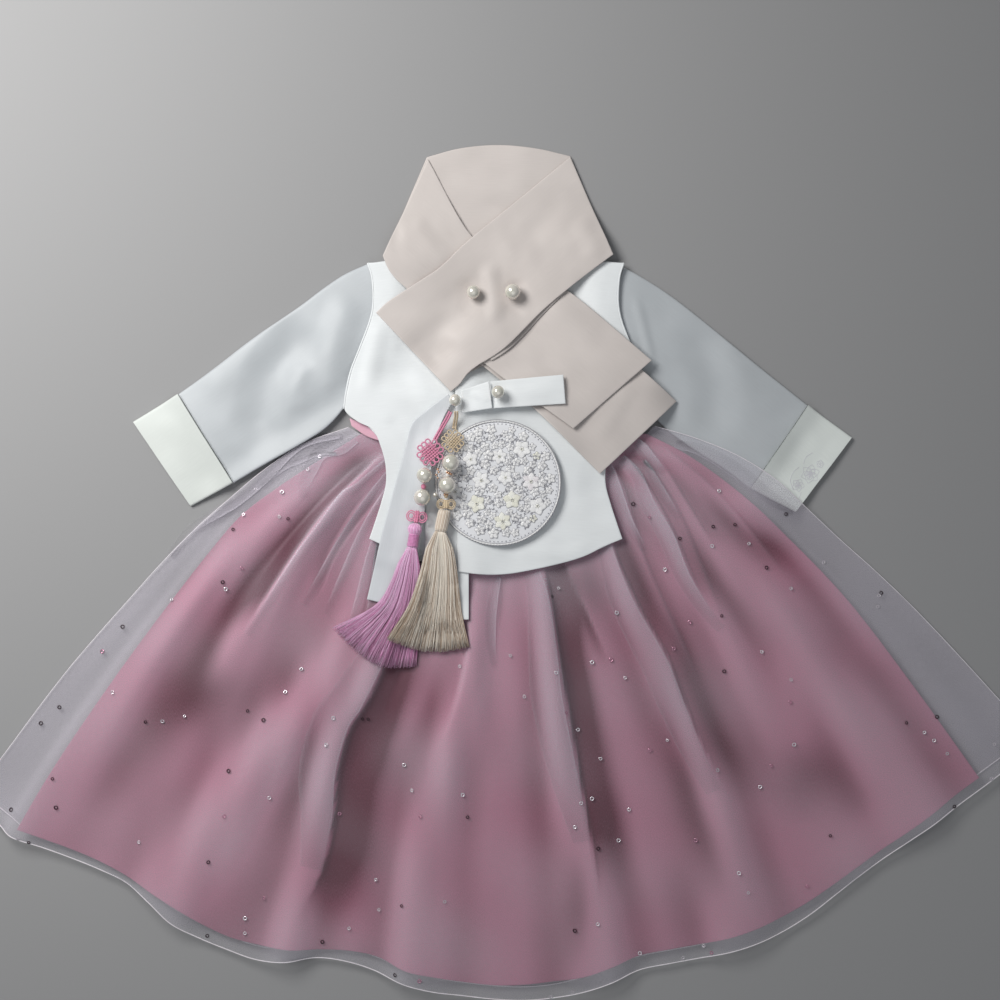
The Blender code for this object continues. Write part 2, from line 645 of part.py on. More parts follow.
def make_patch(materials, collection, pile):
    """The round patch: a corded rim round raised blossoms."""
    base = float(pile.rest(np.array([0.0]), np.array([0.0]), reach=57.0, soften=3.0)[0]) + LAYER_GAP

    def relief(share, angle):
        if share > PATCH_RIM_START:
            return PATCH_RIM_HEIGHT if share < 0.99 else 0.2
        petals = math.cos(PATCH_PETALS * angle + 9 * share) * math.sin(3.2 * math.pi * share)
        return PATCH_RELIEF * (0.35 + 0.5 * max(0.0, petals)) * min(1.0, (0.92 - share) * 12)

    obj = add_medallion(
        "embroidered_patch", (0, 0), base, PATCH_RINGS, PATCH_SPOKES, lambda angle: PATCH_RADIUS, relief,
        PATCH_WALL, materials["patch"], collection,
    )
    pile.lay(obj)


def make_scarf(materials, collection, pile):
    args = (SCARF_WALL, materials["scarf"], collection, pile)
    lay_strip("scarf_back_stretch", SCARF_BACK_TOP, SCARF_BACK_LOW, 6, 12, *args)
    lay_strip("scarf_lower_tail", SCARF_PLY_TOP, SCARF_PLY_LOW, 6, 8, *args)
    lay_strip("scarf_under_stretch", SCARF_UNDER_TOP, SCARF_UNDER_LOW, 7, 19, *args)
    lay_strip("scarf_over_stretch", SCARF_OVER_TOP, SCARF_OVER_LOW, 7, 18, *args)


def make_ties(materials, collection, pile):
    args = (SATIN_WALL, materials["satin"], collection, pile)
    lay_strip("tie_long_tail", LONG_TIE_LEFT, LONG_TIE_RIGHT, 4, 22, *args)
    lay_strip("tie_loop_tab", LOOP_TAB_TOP, LOOP_TAB_LOW, 3, 7, *args)
    lay_strip("tie_knot_wrap", KNOT_WRAP_TOP, KNOT_WRAP_LOW, 3, 4, *args)


def add_bead(name, place, diameter, material, collection, pile):
    """A round bead that rests on the pile."""
    radius = diameter / 2
    x, y = place
    steps = radius * BEAD_FOOTPRINT * np.array((-1, 0, 1))
    nearby = np.array([(x + across, y + along) for across in steps for along in steps])
    base = float(pile.rest(nearby[:, 0], nearby[:, 1], reach=6.0, soften=0.0).max()) + LAYER_GAP
    mesh = bpy.data.meshes.new(name)
    shape = bmesh.new()
    bmesh.ops.create_uvsphere(shape, u_segments=BEAD_SEGMENTS, v_segments=BEAD_RINGS, radius=radius * MM)
    bmesh.ops.translate(shape, verts=shape.verts, vec=(x * MM, y * MM, (base + radius) * MM))
    shape.to_mesh(mesh)
    shape.free()
    mesh.shade_smooth()
    mesh.materials.append(material)
    obj = bpy.data.objects.new(name, mesh)
    collection.objects.link(obj)
    return obj


def add_cord(name, points, radius, material, collection, pile):
    """A short cord along plan points, resting on the pile."""
    route = smooth_curve(points, 8)
    heights = pile.rest(route[:, 0], route[:, 1], reach=6.0, soften=3.0) + radius + LAYER_GAP
    curve = bpy.data.curves.new(name, "CURVE")
    curve.dimensions = "3D"
    curve.bevel_depth = radius * MM
    curve.bevel_resolution = 1
    curve.use_fill_caps = True
    spline = curve.splines.new("POLY")
    spline.points.add(len(route) - 1)
    for point, (x, y), z in zip(spline.points, route, heights):
        point.co = (x * MM, y * MM, z * MM, 1)
    curve.materials.append(material)
    obj = bpy.data.objects.new(name, curve)
    collection.objects.link(obj)
    return obj


def tassel_edges(share, ornament):
    """The left and right edge of a tassel's threads at `share` of their length."""
    edges = []
    for side in ("left", "right"):
        edge = smooth_curve(ornament[side], 21)
        where = np.arange(21) / 20
        edges.append(np.array([np.interp(share, where, axis) for axis in edge.T]))
    return edges


def add_tassel(ornament, material, collection, pile):
    """A bound head whose lower face is drawn out into flat locks of thread in layers."""
    top, neck = (np.array(place, float) for place in ornament["head"])
    columns, layers = TASSEL_COLUMNS, TASSEL_LAYERS
    way = (neck - top) / np.linalg.norm(neck - top)
    side = np.array((-way[1], way[0]))
    if side[0] < 0:
        side = -side
    root_width, root_height = TASSEL_HEAD[-1][1:]
    around = [(column, 0) for column in range(columns + 1)]
    around += [(columns, layer) for layer in range(1, layers + 1)]
    around += [(column, layers) for column in range(columns - 1, -1, -1)]
    around += [(0, layer) for layer in range(layers - 1, 0, -1)]
    nearby = np.array([top, (top + neck) / 2, neck])
    ground = float(pile.rest(nearby[:, 0], nearby[:, 1], reach=9.0, soften=3.0).max()) + LAYER_GAP
    shape = bmesh.new()
    rings = []
    for share, half_width, half_height in TASSEL_HEAD:
        centre = top * (1 - share) + neck * share
        ring = []
        for column, layer in around:
            u = 2 * column / columns - 1
            v = 2 * layer / layers - 1
            # Rounded towards a circle except at the last section, where the locks start.
            stretch = 1.0 if share == 1.0 else 1 / max(1.0, math.hypot(u, v))
            place = centre + side * u * stretch * half_width
            height = ground + TASSEL_HEAD_AXIS + v * stretch * half_height
            ring.append(shape.verts.new((place[0] * MM, place[1] * MM, height * MM)))
        rings.append(ring)
    for first, second in zip(rings, rings[1:]):
        for index in range(len(around)):
            after = (index + 1) % len(around)
            shape.faces.new((first[index], first[after], second[after], second[index]))
    shape.faces.new(list(reversed(rings[0])))
    inner = {key: vertex for key, vertex in zip(around, rings[-1])}
    for column in range(1, columns):
        for layer in range(1, layers):
            u = 2 * column / columns - 1
            v = 2 * layer / layers - 1
            place = neck + side * u * root_width
            height = ground + TASSEL_HEAD_AXIS + v * root_height
            inner[(column, layer)] = shape.verts.new((place[0] * MM, place[1] * MM, height * MM))
    cells = []
    for column in range(columns):
        for layer in range(layers):
            corners = ((column, layer), (column + 1, layer), (column + 1, layer + 1), (column, layer + 1))
            cells.append(((column, layer), shape.faces.new([inner[corner] for corner in corners])))
    bmesh.ops.recalc_face_normals(shape, faces=shape.faces)
    bmesh.ops.inset_individual(shape, faces=[face for _, face in cells], thickness=TASSEL_ROOT_INSET * MM)
    stations = np.linspace(0, 1, TASSEL_STATIONS + 1)[1:]
    for (column, layer), face in cells:
        signs = lock_signs(face, side)
        for share in stations:
            face = bmesh.ops.extrude_discrete_faces(shape, faces=[face])["faces"][0]
            move_lock(face, signs, column, layer, share, ornament, pile)
    mesh = bpy.data.meshes.new(f"{ornament['name']}_tassel")
    bmesh.ops.recalc_face_normals(shape, faces=shape.faces)
    shape.to_mesh(mesh)
    shape.free()
    mesh.materials.append(material)
    obj = bpy.data.objects.new(mesh.name, mesh)
    collection.objects.link(obj)
    return obj


def lock_signs(face, side):
    """For each corner of a lock's root, which side of its middle it is on, across and up."""
    middle = face.calc_center_median()
    signs = []
    for vertex in face.verts:
        gap = vertex.co - middle
        across = gap.x * side[0] + gap.y * side[1]
        signs.append((1 if across > 0 else -1, 1 if gap.z > 0 else -1))
    return signs


def move_lock(face, signs, column, layer, share, ornament, pile):
    """Places a lock's section at `share` of its length."""
    start, end = tassel_edges(share, ornament)
    shift = 0.25 * ((layer % 2) * 2 - 1) if 0 < column < TASSEL_COLUMNS - 1 else 0.0
    span = end - start
    width = np.linalg.norm(span) / TASSEL_COLUMNS
    place = start + span * (column + 0.5 + shift) / TASSEL_COLUMNS
    bow = ornament["bottom_bow"] * share**3 * math.sin(math.pi * (column + 0.5) / TASSEL_COLUMNS)
    place = place + np.array((0.0, -bow))
    half = (width - TASSEL_LOCK_GAP) / 2
    way = span / np.linalg.norm(span)
    floor = pile.rest(place[:1], place[1:], reach=9.0, soften=3.0)[0] + TASSEL_FLOOR_GAP
    thickness = TASSEL_LAYER_THICKNESS - TASSEL_LOCK_GAP
    for vertex, (across, up) in zip(face.verts, signs):
        point = place + way * across * half
        height = floor + (layer + 0.5) * TASSEL_LAYER_THICKNESS + up * thickness / 2
        vertex.co = (point[0] * MM, point[1] * MM, height * MM)


def make_norigae(ornament, materials, collection, pile):
    """One hanging ornament: cord, lattice knot, two pearls with a spacer, butterfly knot and tassel."""
    name = ornament["name"]
    silk = make_material(f"{name}_silk", ornament["colour"], 0.55)
    thread = make_material(f"{name}_thread", ornament["tassel_colour"], 0.5)
    add_cord(f"{name}_cord", ornament["cord"], CORD_RADIUS, silk, collection, pile)
    for kind, lobes, wall in KNOTS:
        centre, long_side, short_side = ornament[kind]
        x, y = np.array(centre[:1], float), np.array(centre[1:], float)
        base = float(pile.rest(x, y, reach=max(long_side, short_side) / 2 + 3, soften=3.0)[0]) + LAYER_GAP

        def outline(angle, long_side=long_side, short_side=short_side, lobes=lobes):
            turned = math.hypot(short_side * math.cos(angle), long_side * math.sin(angle))
            lobed = 1 - KNOT_LOBE_DEPTH * (1 - math.cos(lobes * angle))
            return long_side * short_side / 2 / turned * lobed

        def weave(share, angle, lobes=lobes):
            crown = KNOT_CROWN * math.sqrt(max(0.0, 1 - share * share))
            return crown + KNOT_WEAVE * math.cos(lobes * angle) * share

        shape = (KNOT_RINGS, KNOT_SPOKES, outline, weave, wall)
        add_medallion(f"{name}_{kind}_knot", centre, base, *shape, silk, collection)
    for index, (place, diameter) in enumerate(ornament["pearls"]):
        add_bead(f"{name}_pearl_{index + 1}", place, diameter, materials["pearl"], collection, pile)
    place, diameter = ornament["spacer"]
    add_bead(f"{name}_spacer", place, diameter, silk, collection, pile)
    return add_tassel(ornament, thread, collection, pile)


def main():
    clear_scene()
    collection = bpy.data.collections.new("hanbok")
    bpy.context.scene.collection.children.link(collection)
    materials = {name: make_material(name, colour, rough) for name, (colour, rough) in FINISHES.items()}
    pile = Pile()
    make_skirt_back(materials, collection, pile)
    right = ("right", mirrored(ARMHOLE), RIGHT_SLEEVE_TOP, RIGHT_SLEEVE_LOW, RIGHT_CUFF_END)
    left = ("left", ARMHOLE, LEFT_SLEEVE_TOP, LEFT_SLEEVE_LOW, LEFT_CUFF_END)
    make_sleeve(*right, materials, collection, pile)
    make_skirt_front(materials, collection, pile)
    make_waistband(materials, collection, pile)
    make_sleeve(*left, materials, collection, pile)
    make_jacket(materials, collection, pile)
    make_patch(materials, collection, pile)
    make_scarf(materials, collection, pile)
    make_ties(materials, collection, pile)
    for name, place, diameter in BUTTON_PEARLS:
        pearl = add_bead(name, place, diameter, materials["pearl"], collection, pile)
        pile.lay(pearl)
    for ornament in NORIGAE:
        pile.lay(make_norigae(ornament, materials, collection, pile))


main()
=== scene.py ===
"""The looks of a hanbok for a one-year-old girl, laid flat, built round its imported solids.

Metres, +Z up, in the part's own frame. The tables of shapes are in millimetres, as in the part's
source. Each cloth piece is a thin shell on its solid, with finer folds than the solid has.
"""

import math

import bpy
import numpy as np
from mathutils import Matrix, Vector
from mathutils.bvhtree import BVHTree


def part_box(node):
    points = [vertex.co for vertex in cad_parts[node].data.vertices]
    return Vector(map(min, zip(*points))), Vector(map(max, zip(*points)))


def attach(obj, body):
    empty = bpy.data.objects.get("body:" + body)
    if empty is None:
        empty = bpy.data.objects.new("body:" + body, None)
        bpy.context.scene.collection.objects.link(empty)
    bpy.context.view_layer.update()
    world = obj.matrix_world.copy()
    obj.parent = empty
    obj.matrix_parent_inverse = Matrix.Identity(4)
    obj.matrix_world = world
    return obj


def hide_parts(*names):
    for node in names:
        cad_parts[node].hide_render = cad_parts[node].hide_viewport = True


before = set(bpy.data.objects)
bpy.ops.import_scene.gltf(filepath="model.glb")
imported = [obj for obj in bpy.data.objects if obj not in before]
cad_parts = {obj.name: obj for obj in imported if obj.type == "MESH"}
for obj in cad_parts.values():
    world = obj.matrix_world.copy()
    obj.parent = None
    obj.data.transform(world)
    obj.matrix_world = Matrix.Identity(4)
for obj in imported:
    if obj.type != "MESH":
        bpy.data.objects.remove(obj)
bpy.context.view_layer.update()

MM = 0.001

# Thickness of each cloth as it shows, then the grid's steps in from an edge and the edge's rounding.
ORGANZA_SHELL = 0.5
LINING_SHELL = 0.6
SATIN_SHELL = 0.9
SCARF_SHELL = 1.0
EDGE_STEPS = (0.0, 0.22, 0.6, 1.2)
EDGE_RADIUS = 1.1

# The skirt's outlines, from the waist to the hem or from left to right. Its gathers run out from
# SKIRT_CENTRE, and the organza is wider than the lining by MARGIN_COLUMNS of the grid on each side.
ORGANZA_LEFT = (
    (-134, 50), (-162, 41), (-192, 25), (-228, -3), (-283, -52), (-338, -112), (-393, -176), (-463, -270),
)
ORGANZA_RIGHT = (
    (140, 51), (180, 39), (221, 21), (248, 3), (302, -46), (354, -93), (403, -143), (475, -222),
)
LINING_LEFT = (
    (-123, 44), (-173, 12), (-228, -27), (-272, -79), (-332, -159), (-393, -248), (-430, -310),
)
LINING_RIGHT = (
    (133, 44), (160, 31), (201, 3), (246, -36), (312, -104), (378, -190), (431, -264),
)
WAIST_MIDDLE = (5, 42)
ORGANZA_HEM = (
    (-434, -317), (-380, -337), (-328, -361), (-283, -400), (-212, -428), (-173, -425), (-127, -431),
    (-65, -454), (23, -464), (82, -454), (125, -437), (202, -421), (263, -398), (331, -347), (434, -273),
)
LINING_HEM = (
    (-430, -311), (-356, -341), (-302, -373), (-248, -406), (-195, -418), (-121, -423), (-77, -440),
    (0, -453), (75, -445), (125, -427), (200, -412), (263, -388), (339, -336), (431, -268),
)
ORGANZA_LEFT_CORNER = (-471, -287)
ORGANZA_RIGHT_CORNER = (483, -237)
ORGANZA_BACK_HEM_RISE = 11
LINING_BACK_HEM_RISE = 15
SKIRT_CENTRE = (0, 60)
SKIRT_COLUMNS = 36
SKIRT_ROWS = 12
MARGIN_COLUMNS = 3

# Pleats of the skirt with one steep side: crest from the waist down, height, width of the gentle
# side, width of the steep side, depth and width of the hollow beyond it, which side is steep (1 is
# the viewer's right), and how dark the shade beside it is.
PLEAT_COLUMNS = ("crest", "height", "rise", "drop", "depth", "hollow", "side", "shade")
PLEATS = (
    (((-106, 22), (-145, -16), (-173, -52), (-201, -94), (-236, -148)), 3.5, 24, 3.0, 3.8, 28, -1, 0.80),
    (((-128, 12), (-160, -20), (-196, -62), (-228, -108)), 1.6, 12, 3.0, 1.2, 14, -1, 0.15),
    (((-90, -110), (-105, -167), (-122, -201), (-134, -220), (-145, -260), (-148, -300), (-158, -345),
      (-186, -400)), 3.4, 34, 4.0, 3.8, 44, 1, 1.0),
    (((-24, -74), (-24, -110), (-27, -157), (-39, -204), (-60, -250)), 2.6, 18, 4.0, 3.2, 26, -1, 0.25),
    (((2, -78), (1, -105), (-2, -136)), 0.9, 9, 1.6, 0.8, 8, 1, 0.2),
    (((38, -70), (46, -104), (53, -153), (64, -216), (74, -275), (83, -325), (92, -390)),
     3.4, 28, 3.0, 4.0, 33, 1, 1.0),
    (((60, -66), (70, -93), (84, -122), (104, -168)), 1.6, 16, 3.2, 1.8, 12, -1, 0.3),
    (((98, -40), (106, -69), (126, -114), (149, -154), (166, -198), (184, -241), (216, -300)),
     2.8, 26, 3.0, 3.4, 28, 1, 0.75),
    (((120, -40), (138, -86), (164, -143), (184, -190)), 1.2, 12, 2.6, 1.4, 12, 1, 0.15),
    (((113, 25), (133, -2), (157, -46), (176, -90), (202, -128)), 2.0, 16, 2.4, 2.0, 20, 1, 0.5),
    (((102, 17), (113, -7), (123, -38), (134, -59)), 1.4, 9, 1.8, 1.4, 10, 1, 0.3),
    (((132, 21), (147, -3), (163, -30), (206, -134)), 1.2, 10, 2.2, 1.2, 14, 1, 0.2),
    (((126, 40), (140, 25), (151, 11), (200, -70)), 1.3, 10, 2.0, 1.2, 12, 1, 0.25),
    (((150, 30), (190, -4), (226, -44), (262, -92)), 1.6, 16, 3.0, 1.2, 18, 1, 0.1),
    (((-116, -10), (-134, -34), (-150, -62), (-162, -92)), 1.3, 10, 2.2, 1.2, 12, -1, 0.25),
    (((-104, -13), (-128, -41), (-149, -74), (-162, -110)), 1.2, 9, 2.0, 1.0, 12, -1, 0.2),
    (((-108, -52), (-116, -90), (-128, -132)), 1.4, 14, 2.6, 1.2, 16, 1, 0.35),
    (((-78, -125), (-88, -160), (-104, -204)), 1.0, 12, 2.6, 1.0, 14, 1, 0.2),
)
PLEAT_RELIEF = 0.62
PLEAT_FADE_IN = 0.10
PLEAT_FADE_OUT = 0.45

# Plies of organza turned over where it gathers: crisp edge, side that the ply lies on, width and haze.
PLY_COLUMNS = ("edge", "side", "width", "haze")
PLIES = (
    (((-141, 40), (-168, 34), (-184, 24), (-205, 2), (-234, -22), (-272, -44), (-293, -66)), -1, 11, 0.22),
    (((-145, 25), (-161, 24), (-178, 17), (-190, 12), (-212, -4)), -1, 5, 0.16),
    (((-125, 36), (-138, 26), (-154, 22), (-161, 11), (-169, -4), (-170, -13)), -1, 14, 0.13),
    (((-102, 21), (-128, -1), (-141, -9), (-161, -37), (-178, -59), (-202, -96), (-225, -134)), 1, 9, 0.18),
    (((-101, 10), (-118, -12), (-136, -38), (-156, -72), (-176, -108)), 1, 9, 0.15),
    (((-101, -4), (-114, -24), (-128, -50), (-142, -82), (-156, -116)), 1, 8, 0.15),
    (((-104, -22), (-112, -46), (-120, -72), (-128, -104), (-136, -134)), 1, 9, 0.13),
    (((-108, -46), (-112, -74), (-116, -104), (-120, -130)), 1, 6, 0.10),
    (((126, 40), (134, 33), (140, 25), (151, 11)), -1, 12, 0.18),
    (((113, 25), (128, 10), (140, -17), (157, -46), (169, -77), (186, -107), (202, -128)), -1, 14, 0.14),
    (((102, 17), (107, 6), (117, -23), (123, -38), (134, -59)), -1, 11, 0.18),
    (((132, 21), (140, 10), (156, -17), (163, -30)), -1, 9, 0.10),
    (((101, -54), (115, -92), (126, -114), (149, -154), (157, -172), (175, -220), (184, -241), (198, -272)),
     -1, 24, 0.07),
    (((158, 31), (180, 24), (209, 5), (238, -17), (263, -29)), 1, 14, 0.12),
    (((-95, -141), (-105, -167), (-122, -201), (-134, -220), (-145, -260), (-148, -300), (-158, -345)),
     -1, 34, 0.09),
    (((3, -84), (-1, -114), (-2, -141), (-1, -164)), -1, 10, 0.12),
    (((38, -79), (46, -104), (53, -153), (57, -189), (67, -241), (73, -271), (82, -318)), -1, 28, 0.09),
)
PLY_STEPS = 76
PLY_STRIPS = 11
PLY_WALL = 0.2
PLY_LINE_HAZE = 0.10
PLY_LINE_WIDTH = 2.0

# Soft hollows and swells of the skirt: centre, half length, half width, direction in degrees, height.
OVAL_COLUMNS = ("centre", "length", "width", "angle", "height")
SWELLS = (
    ((221, -63), 60, 22, -42, -1.8),
    ((290, -255), 80, 26, -28, -2.2),
    ((340, -215), 60, 24, -50, 1.8),
    ((282, -176), 70, 28, -44, 2.0),
    ((380, -272), 46, 20, -20, 1.6),
    ((300, -342), 60, 24, -30, 2.0),
    ((-330, -210), 80, 26, 55, 1.8),
    ((-262, -262), 70, 24, 58, -1.8),
    ((-210, -330), 60, 26, 60, 1.8),
    ((-20, -330), 90, 26, 84, 1.6),
    ((20, -260), 80, 20, -84, -1.4),
    ((130, -330), 70, 22, -76, 1.6),
    ((-110, -390), 60, 24, 80, 1.4),
    ((-330, -310), 60, 22, 40, -1.4),
    ((170, -380), 50, 20, -70, -1.4),
)
SWELL_RELIEF = 0.35

# Broad soft patches of painted shade on the lining's rose, and of painted light where the number is
# below zero: centre, half length, half width, direction in degrees, and how much deeper or paler the
# rose is painted there.
PAINTED_SHADE_PATCHES = (
    ((-286, -198), 128, 28, 54, 0.42),
    ((-212, -276), 64, 22, 64, -0.40),
    ((-167, -332), 66, 20, 72, 0.40),
    ((-3, -164), 62, 22, 85, -0.42),
    ((77, -98), 46, 22, -75, 0.45),
    ((74, -372), 66, 20, 88, 0.50),
    ((200, -338), 56, 26, -70, 0.35),
    ((340, -318), 50, 30, 25, -0.32),
    ((-186, -12), 64, 24, 42, -0.42),
    ((-76, -286), 64, 18, 85, 0.25),
    ((217, -58), 60, 28, -46, 0.18),
    ((262, -258), 76, 42, -24, 0.18),
    ((160, -250), 90, 20, -64, 0.18),
    ((-238, -178), 60, 26, 50, 0.18),
    ((-102, -240), 48, 16, 85, 0.28),
    ((-250, -330), 56, 26, 60, -0.20),
)

# Painted shade of the lining, from 0 to 1, deeper in its folds and hollows: its value where the cloth
# lies flat, over how many grid steps its surroundings count, what depth in millimetres makes the
# whole range, and the pleats' part in it.
PAINTED_SHADE_FLAT = 0.42
PAINTED_SHADE_BLUR = 9
PAINTED_SHADE_DEPTH = 8.0
PLEAT_PAINTED_SHADE = 0.62

# The fine gathers at the waist: their number, their height and how far down they run.
GATHER_COUNT = 58
GATHER_HEIGHT = 0.42
GATHER_REACH = 150.0

# Rows and columns of the skirt's fine grids, the least gaps between its layers, and the level down to
# which the organza may sink beyond the lining's edge.
SKIRT_BACK_COUNTS = (40, 110)
LINING_COUNTS = (84, 280)
ORGANZA_COUNTS = (90, 345)
LAYER_GAP = 0.4
LAYER_STEP = 1.5
MARGIN_FLOOR = 1.9

# The jacket, from the shoulder down. The right side mirrors the left about JACKET_MIDDLE.
JACKET_MIDDLE = -2
JACKET_SIDE = (
    (-116, 197), (-112, 183), (-111, 162), (-114, 145), (-123, 121), (-131, 100), (-135, 81), (-137, 66),
    (-134, 58), (-122, 54), (-113, 49), (-106, 36), (-101, 20), (-100, 0), (-106, -23), (-115, -50),
)
JACKET_HEM = (
    (-115, -50), (-100, -57), (-70, -70), (-36, -79), (2, -82),
    (38, -76), (70, -68), (95, -57), (111, -43),
)
JACKET_SHOULDER = ((-114, 197), (-60, 206), (0, 208), (60, 206), (110, 197))
OVER_FRONT_EDGE = ((52, 200), (12, 150), (-35, 100), (-38, 75), (-37, 48), (-37, 0), (-36, -79))
UNDER_FRONT_EDGE = ((-62, 200), (-46, 150), (-30, 90), (-24, 40), (-22, -10), (-20, -77))

# Each sleeve's upper and lower edge, from the armhole to the cuff's opening.
LEFT_SLEEVE_TOP = ((-117, 197), (-144, 184), (-178, 159), (-220, 130), (-259, 100), (-287, 80))
LEFT_SLEEVE_LOW = ((-138, 67), (-150, 53), (-163, 43), (-185, 30), (-210, 16), (-237, 0))
LEFT_CUFF_END = ((-328, 55), (-276, -21))
RIGHT_SLEEVE_TOP = ((113, 194), (144, 176), (174, 154), (206, 128), (239, 101), (278, 70))
RIGHT_SLEEVE_LOW = ((134, 67), (147, 52), (160, 41), (182, 26), (204, 12), (226, -5))
RIGHT_CUFF_END = ((318, 41), (267, -26))
ARMHOLE = (
    (-117, 197), (-113, 183), (-112, 162), (-115, 145), (-124, 121), (-132, 100), (-136, 81), (-138, 67),
)
TUBE_ROWS = 7
SLEEVE_SECTIONS = 10
SEAM_GAP = 0.3

# The scarf, a satin band: each stretch by its two long edges.
SCARF_BACK_TOP = ((-64, 293), (-34, 301), (0, 304), (34, 301), (65, 294))
SCARF_BACK_LOW = ((-103, 202), (-50, 198), (0, 197), (50, 198), (103, 204))
SCARF_UNDER_TOP = ((-63, 291), (-24, 222), (14, 199), (64, 171), (137, 109))
SCARF_UNDER_LOW = ((-103, 203), (-95, 186), (-82, 174), (-45, 138), (-3, 99), (67, 48))
SCARF_PLY_TOP = ((20, 170), (90, 132), (160, 73))
SCARF_PLY_LOW = ((-18, 108), (32, 66), (91, 8))
SCARF_OVER_TOP = ((65, 293), (-22, 221), (-50, 194), (-67, 182), (-98, 162), (-109, 152))
SCARF_OVER_LOW = ((103, 204), (75, 183), (40, 154), (6, 120), (-23, 101), (-32, 90), (-42, 81))

# The ties: long edges of each strip.
KNOT_WRAP_TOP = ((-33, 82), (-8, 90))
KNOT_WRAP_LOW = ((-32, 62), (-5, 66))
LOOP_TAB_TOP = ((-7, 90), (25, 93), (58, 96))
LOOP_TAB_LOW = ((-4, 66), (28, 68), (60, 70))
LONG_TIE_LEFT = (
    (-44, 79), (-56, 70), (-68, 61), (-75, 55), (-78, 50), (-80, 42),
    (-86, 19), (-94, -10), (-104, -47), (-111, -78), (-117, -104),
)
LONG_TIE_RIGHT = (
    (-40, 73), (-44, 66), (-49, 56), (-53, 46), (-55, 38), (-57, 26),
    (-60, 8), (-64, -18), (-69, -52), (-73, -84), (-76, -114),
)
SHORT_TIE_LEFT = ((-64, 20), (-65, -50), (-66, -122))
SHORT_TIE_RIGHT = ((-27, 20), (-26, -50), (-26, -122))
WAISTBAND_TOP = ((-133, 58), (-115, 52), (-70, 50), (0, 49), (66, 50), (111, 52), (129, 58))
WAISTBAND_LOW = ((-131, 51), (-113, 40), (-70, 30), (0, 28), (66, 30), (109, 40), (127, 51))

# Soft ridges and troughs of the satin pieces: line, height, half width.
CREASE_COLUMNS = ("line", "height", "width")
CREASES = {
    "sleeve_left": (
        (((-160, 146), (-186, 122), (-206, 94), (-214, 62), (-226, 26)), -4.6, 28),
        (((-128, 172), (-142, 140), (-150, 100), (-152, 66)), 3.0, 22),
        (((-190, 146), (-236, 106), (-266, 74)), 1.6, 26),
        (((-172, 112), (-178, 84), (-174, 60)), 1.4, 20),
    ),
    "sleeve_right": (
        (((121, 172), (128, 148), (134, 124), (140, 100)), 1.4, 7),
        (((168, 150), (190, 108), (196, 66), (190, 36)), -2.6, 27),
        (((190, 130), (226, 88), (246, 50)), 1.4, 26),
    ),
    "cuff_left": ((((-300, 66), (-262, 4)), 0.5, 14),),
    "cuff_right": ((((292, 52), (256, -6)), 0.5, 14),),
    "jacket_under_front": (
        (((-104, 150), (-112, 110), (-118, 76)), 1.0, 12),
        (((-100, 60), (-84, 46), (-70, 22)), -0.9, 12),
        (((-90, 118), (-70, 92), (-60, 70)), 0.8, 14),
    ),
    "jacket_over_front": (
        (((98, 40), (84, 0), (92, -40)), -0.8, 16),
        (((20, -60), (60, -64), (90, -50)), 0.6, 10),
        (((100, 120), (108, 86), (112, 60)), 0.9, 10),
    ),
    "scarf_over_stretch": (
        (((-8, 200), (-6, 178), (-3, 158), (0, 140)), 2.4, 12),
        (((-30, 186), (-26, 165), (-30, 146)), -1.0, 12),
        (((14, 184), (18, 166), (12, 148)), -1.2, 13),
        (((60, 262), (40, 232), (10, 206)), -0.8, 16),
        (((-84, 160), (-60, 136), (-40, 104)), 0.5, 16),
        (((70, 240), (84, 214), (80, 196)), 1.0, 14),
    ),
    "scarf_under_stretch": (
        (((-84, 236), (-62, 214), (-44, 190)), 1.4, 16),
        (((36, 172), (70, 138), (104, 92)), 0.9, 18),
        (((30, 118), (52, 96), (74, 72)), -0.7, 13),
    ),
    "scarf_back_stretch": (
        (((-50, 276), (-10, 262), (40, 270)), 1.0, 18),
        (((-40, 232), (0, 224), (46, 234)), -0.9, 18),
    ),
    "scarf_lower_tail": ((((120, 92), (104, 62), (84, 34)), 0.7, 12),),
    "tie_long_tail": (
        (((-58, 66), (-68, 44), (-72, 20)), 0.35, 8),
        (((-76, -10), (-86, -60), (-92, -100)), 0.4, 10),
    ),
    "tie_short_tail": ((((-46, 10), (-46, -60), (-45, -118)), 0.4, 10),),
    "tie_knot_wrap": ((((-26, 80), (-14, 76), (-8, 70)), 0.5, 5),),
    "tie_loop_tab": ((((0, 79), (30, 81), (56, 84)), 0.3, 9),),
}

# Colours, linear.
LINING_ROSE = (0.45, 0.163, 0.247)
# The colour below is painted shade: the rose as it is painted deep in a fold.
LINING_PAINTED_SHADE = (0.13, 0.038, 0.058)
ORGANZA_TINT = (0.85, 0.81, 0.90)
PEARL_IVORY = (0.88, 0.85, 0.77)
PEARL_GREEN = (0.74, 0.74, 0.64)
PEARL_ROSE = (0.90, 0.85, 0.78)
FLOOR_GREY = (0.33, 0.33, 0.335)

# Satins: name, colour and roughness. A name with a dot belongs to the slot before the dot, and is a
# lighter or darker copy of one cloth: these copies are painted shade or painted light.
SATINS = (
    ("waistband", (0.74, 0.43, 0.53), 0.55),
    ("satin", (0.85, 0.88, 0.895), 0.46),
    # The sleeves' and the long tie tail's satin is the jacket's white satin painted darker: painted shade.
    ("satin.sleeve", (0.52, 0.55, 0.575), 0.36),
    ("satin.tie", (0.66, 0.69, 0.72), 0.4),
    # Both cuffs are one cloth: the left is painted darker as painted shade, the right lighter as painted
    # light.
    ("cuff.left", (0.69, 0.727, 0.70), 0.45),
    ("cuff.right", (0.83, 0.875, 0.845), 0.45),
    ("scarf", (0.65, 0.597, 0.57), 0.52),
    ("patch", (0.84, 0.85, 0.88), 0.5),
)
# Silk ropes: name, colour and roughness.
ROPES = (
    ("pink_silk", (0.74, 0.27, 0.42), 0.5),
    ("beige_silk", (0.66, 0.53, 0.36), 0.4),
)
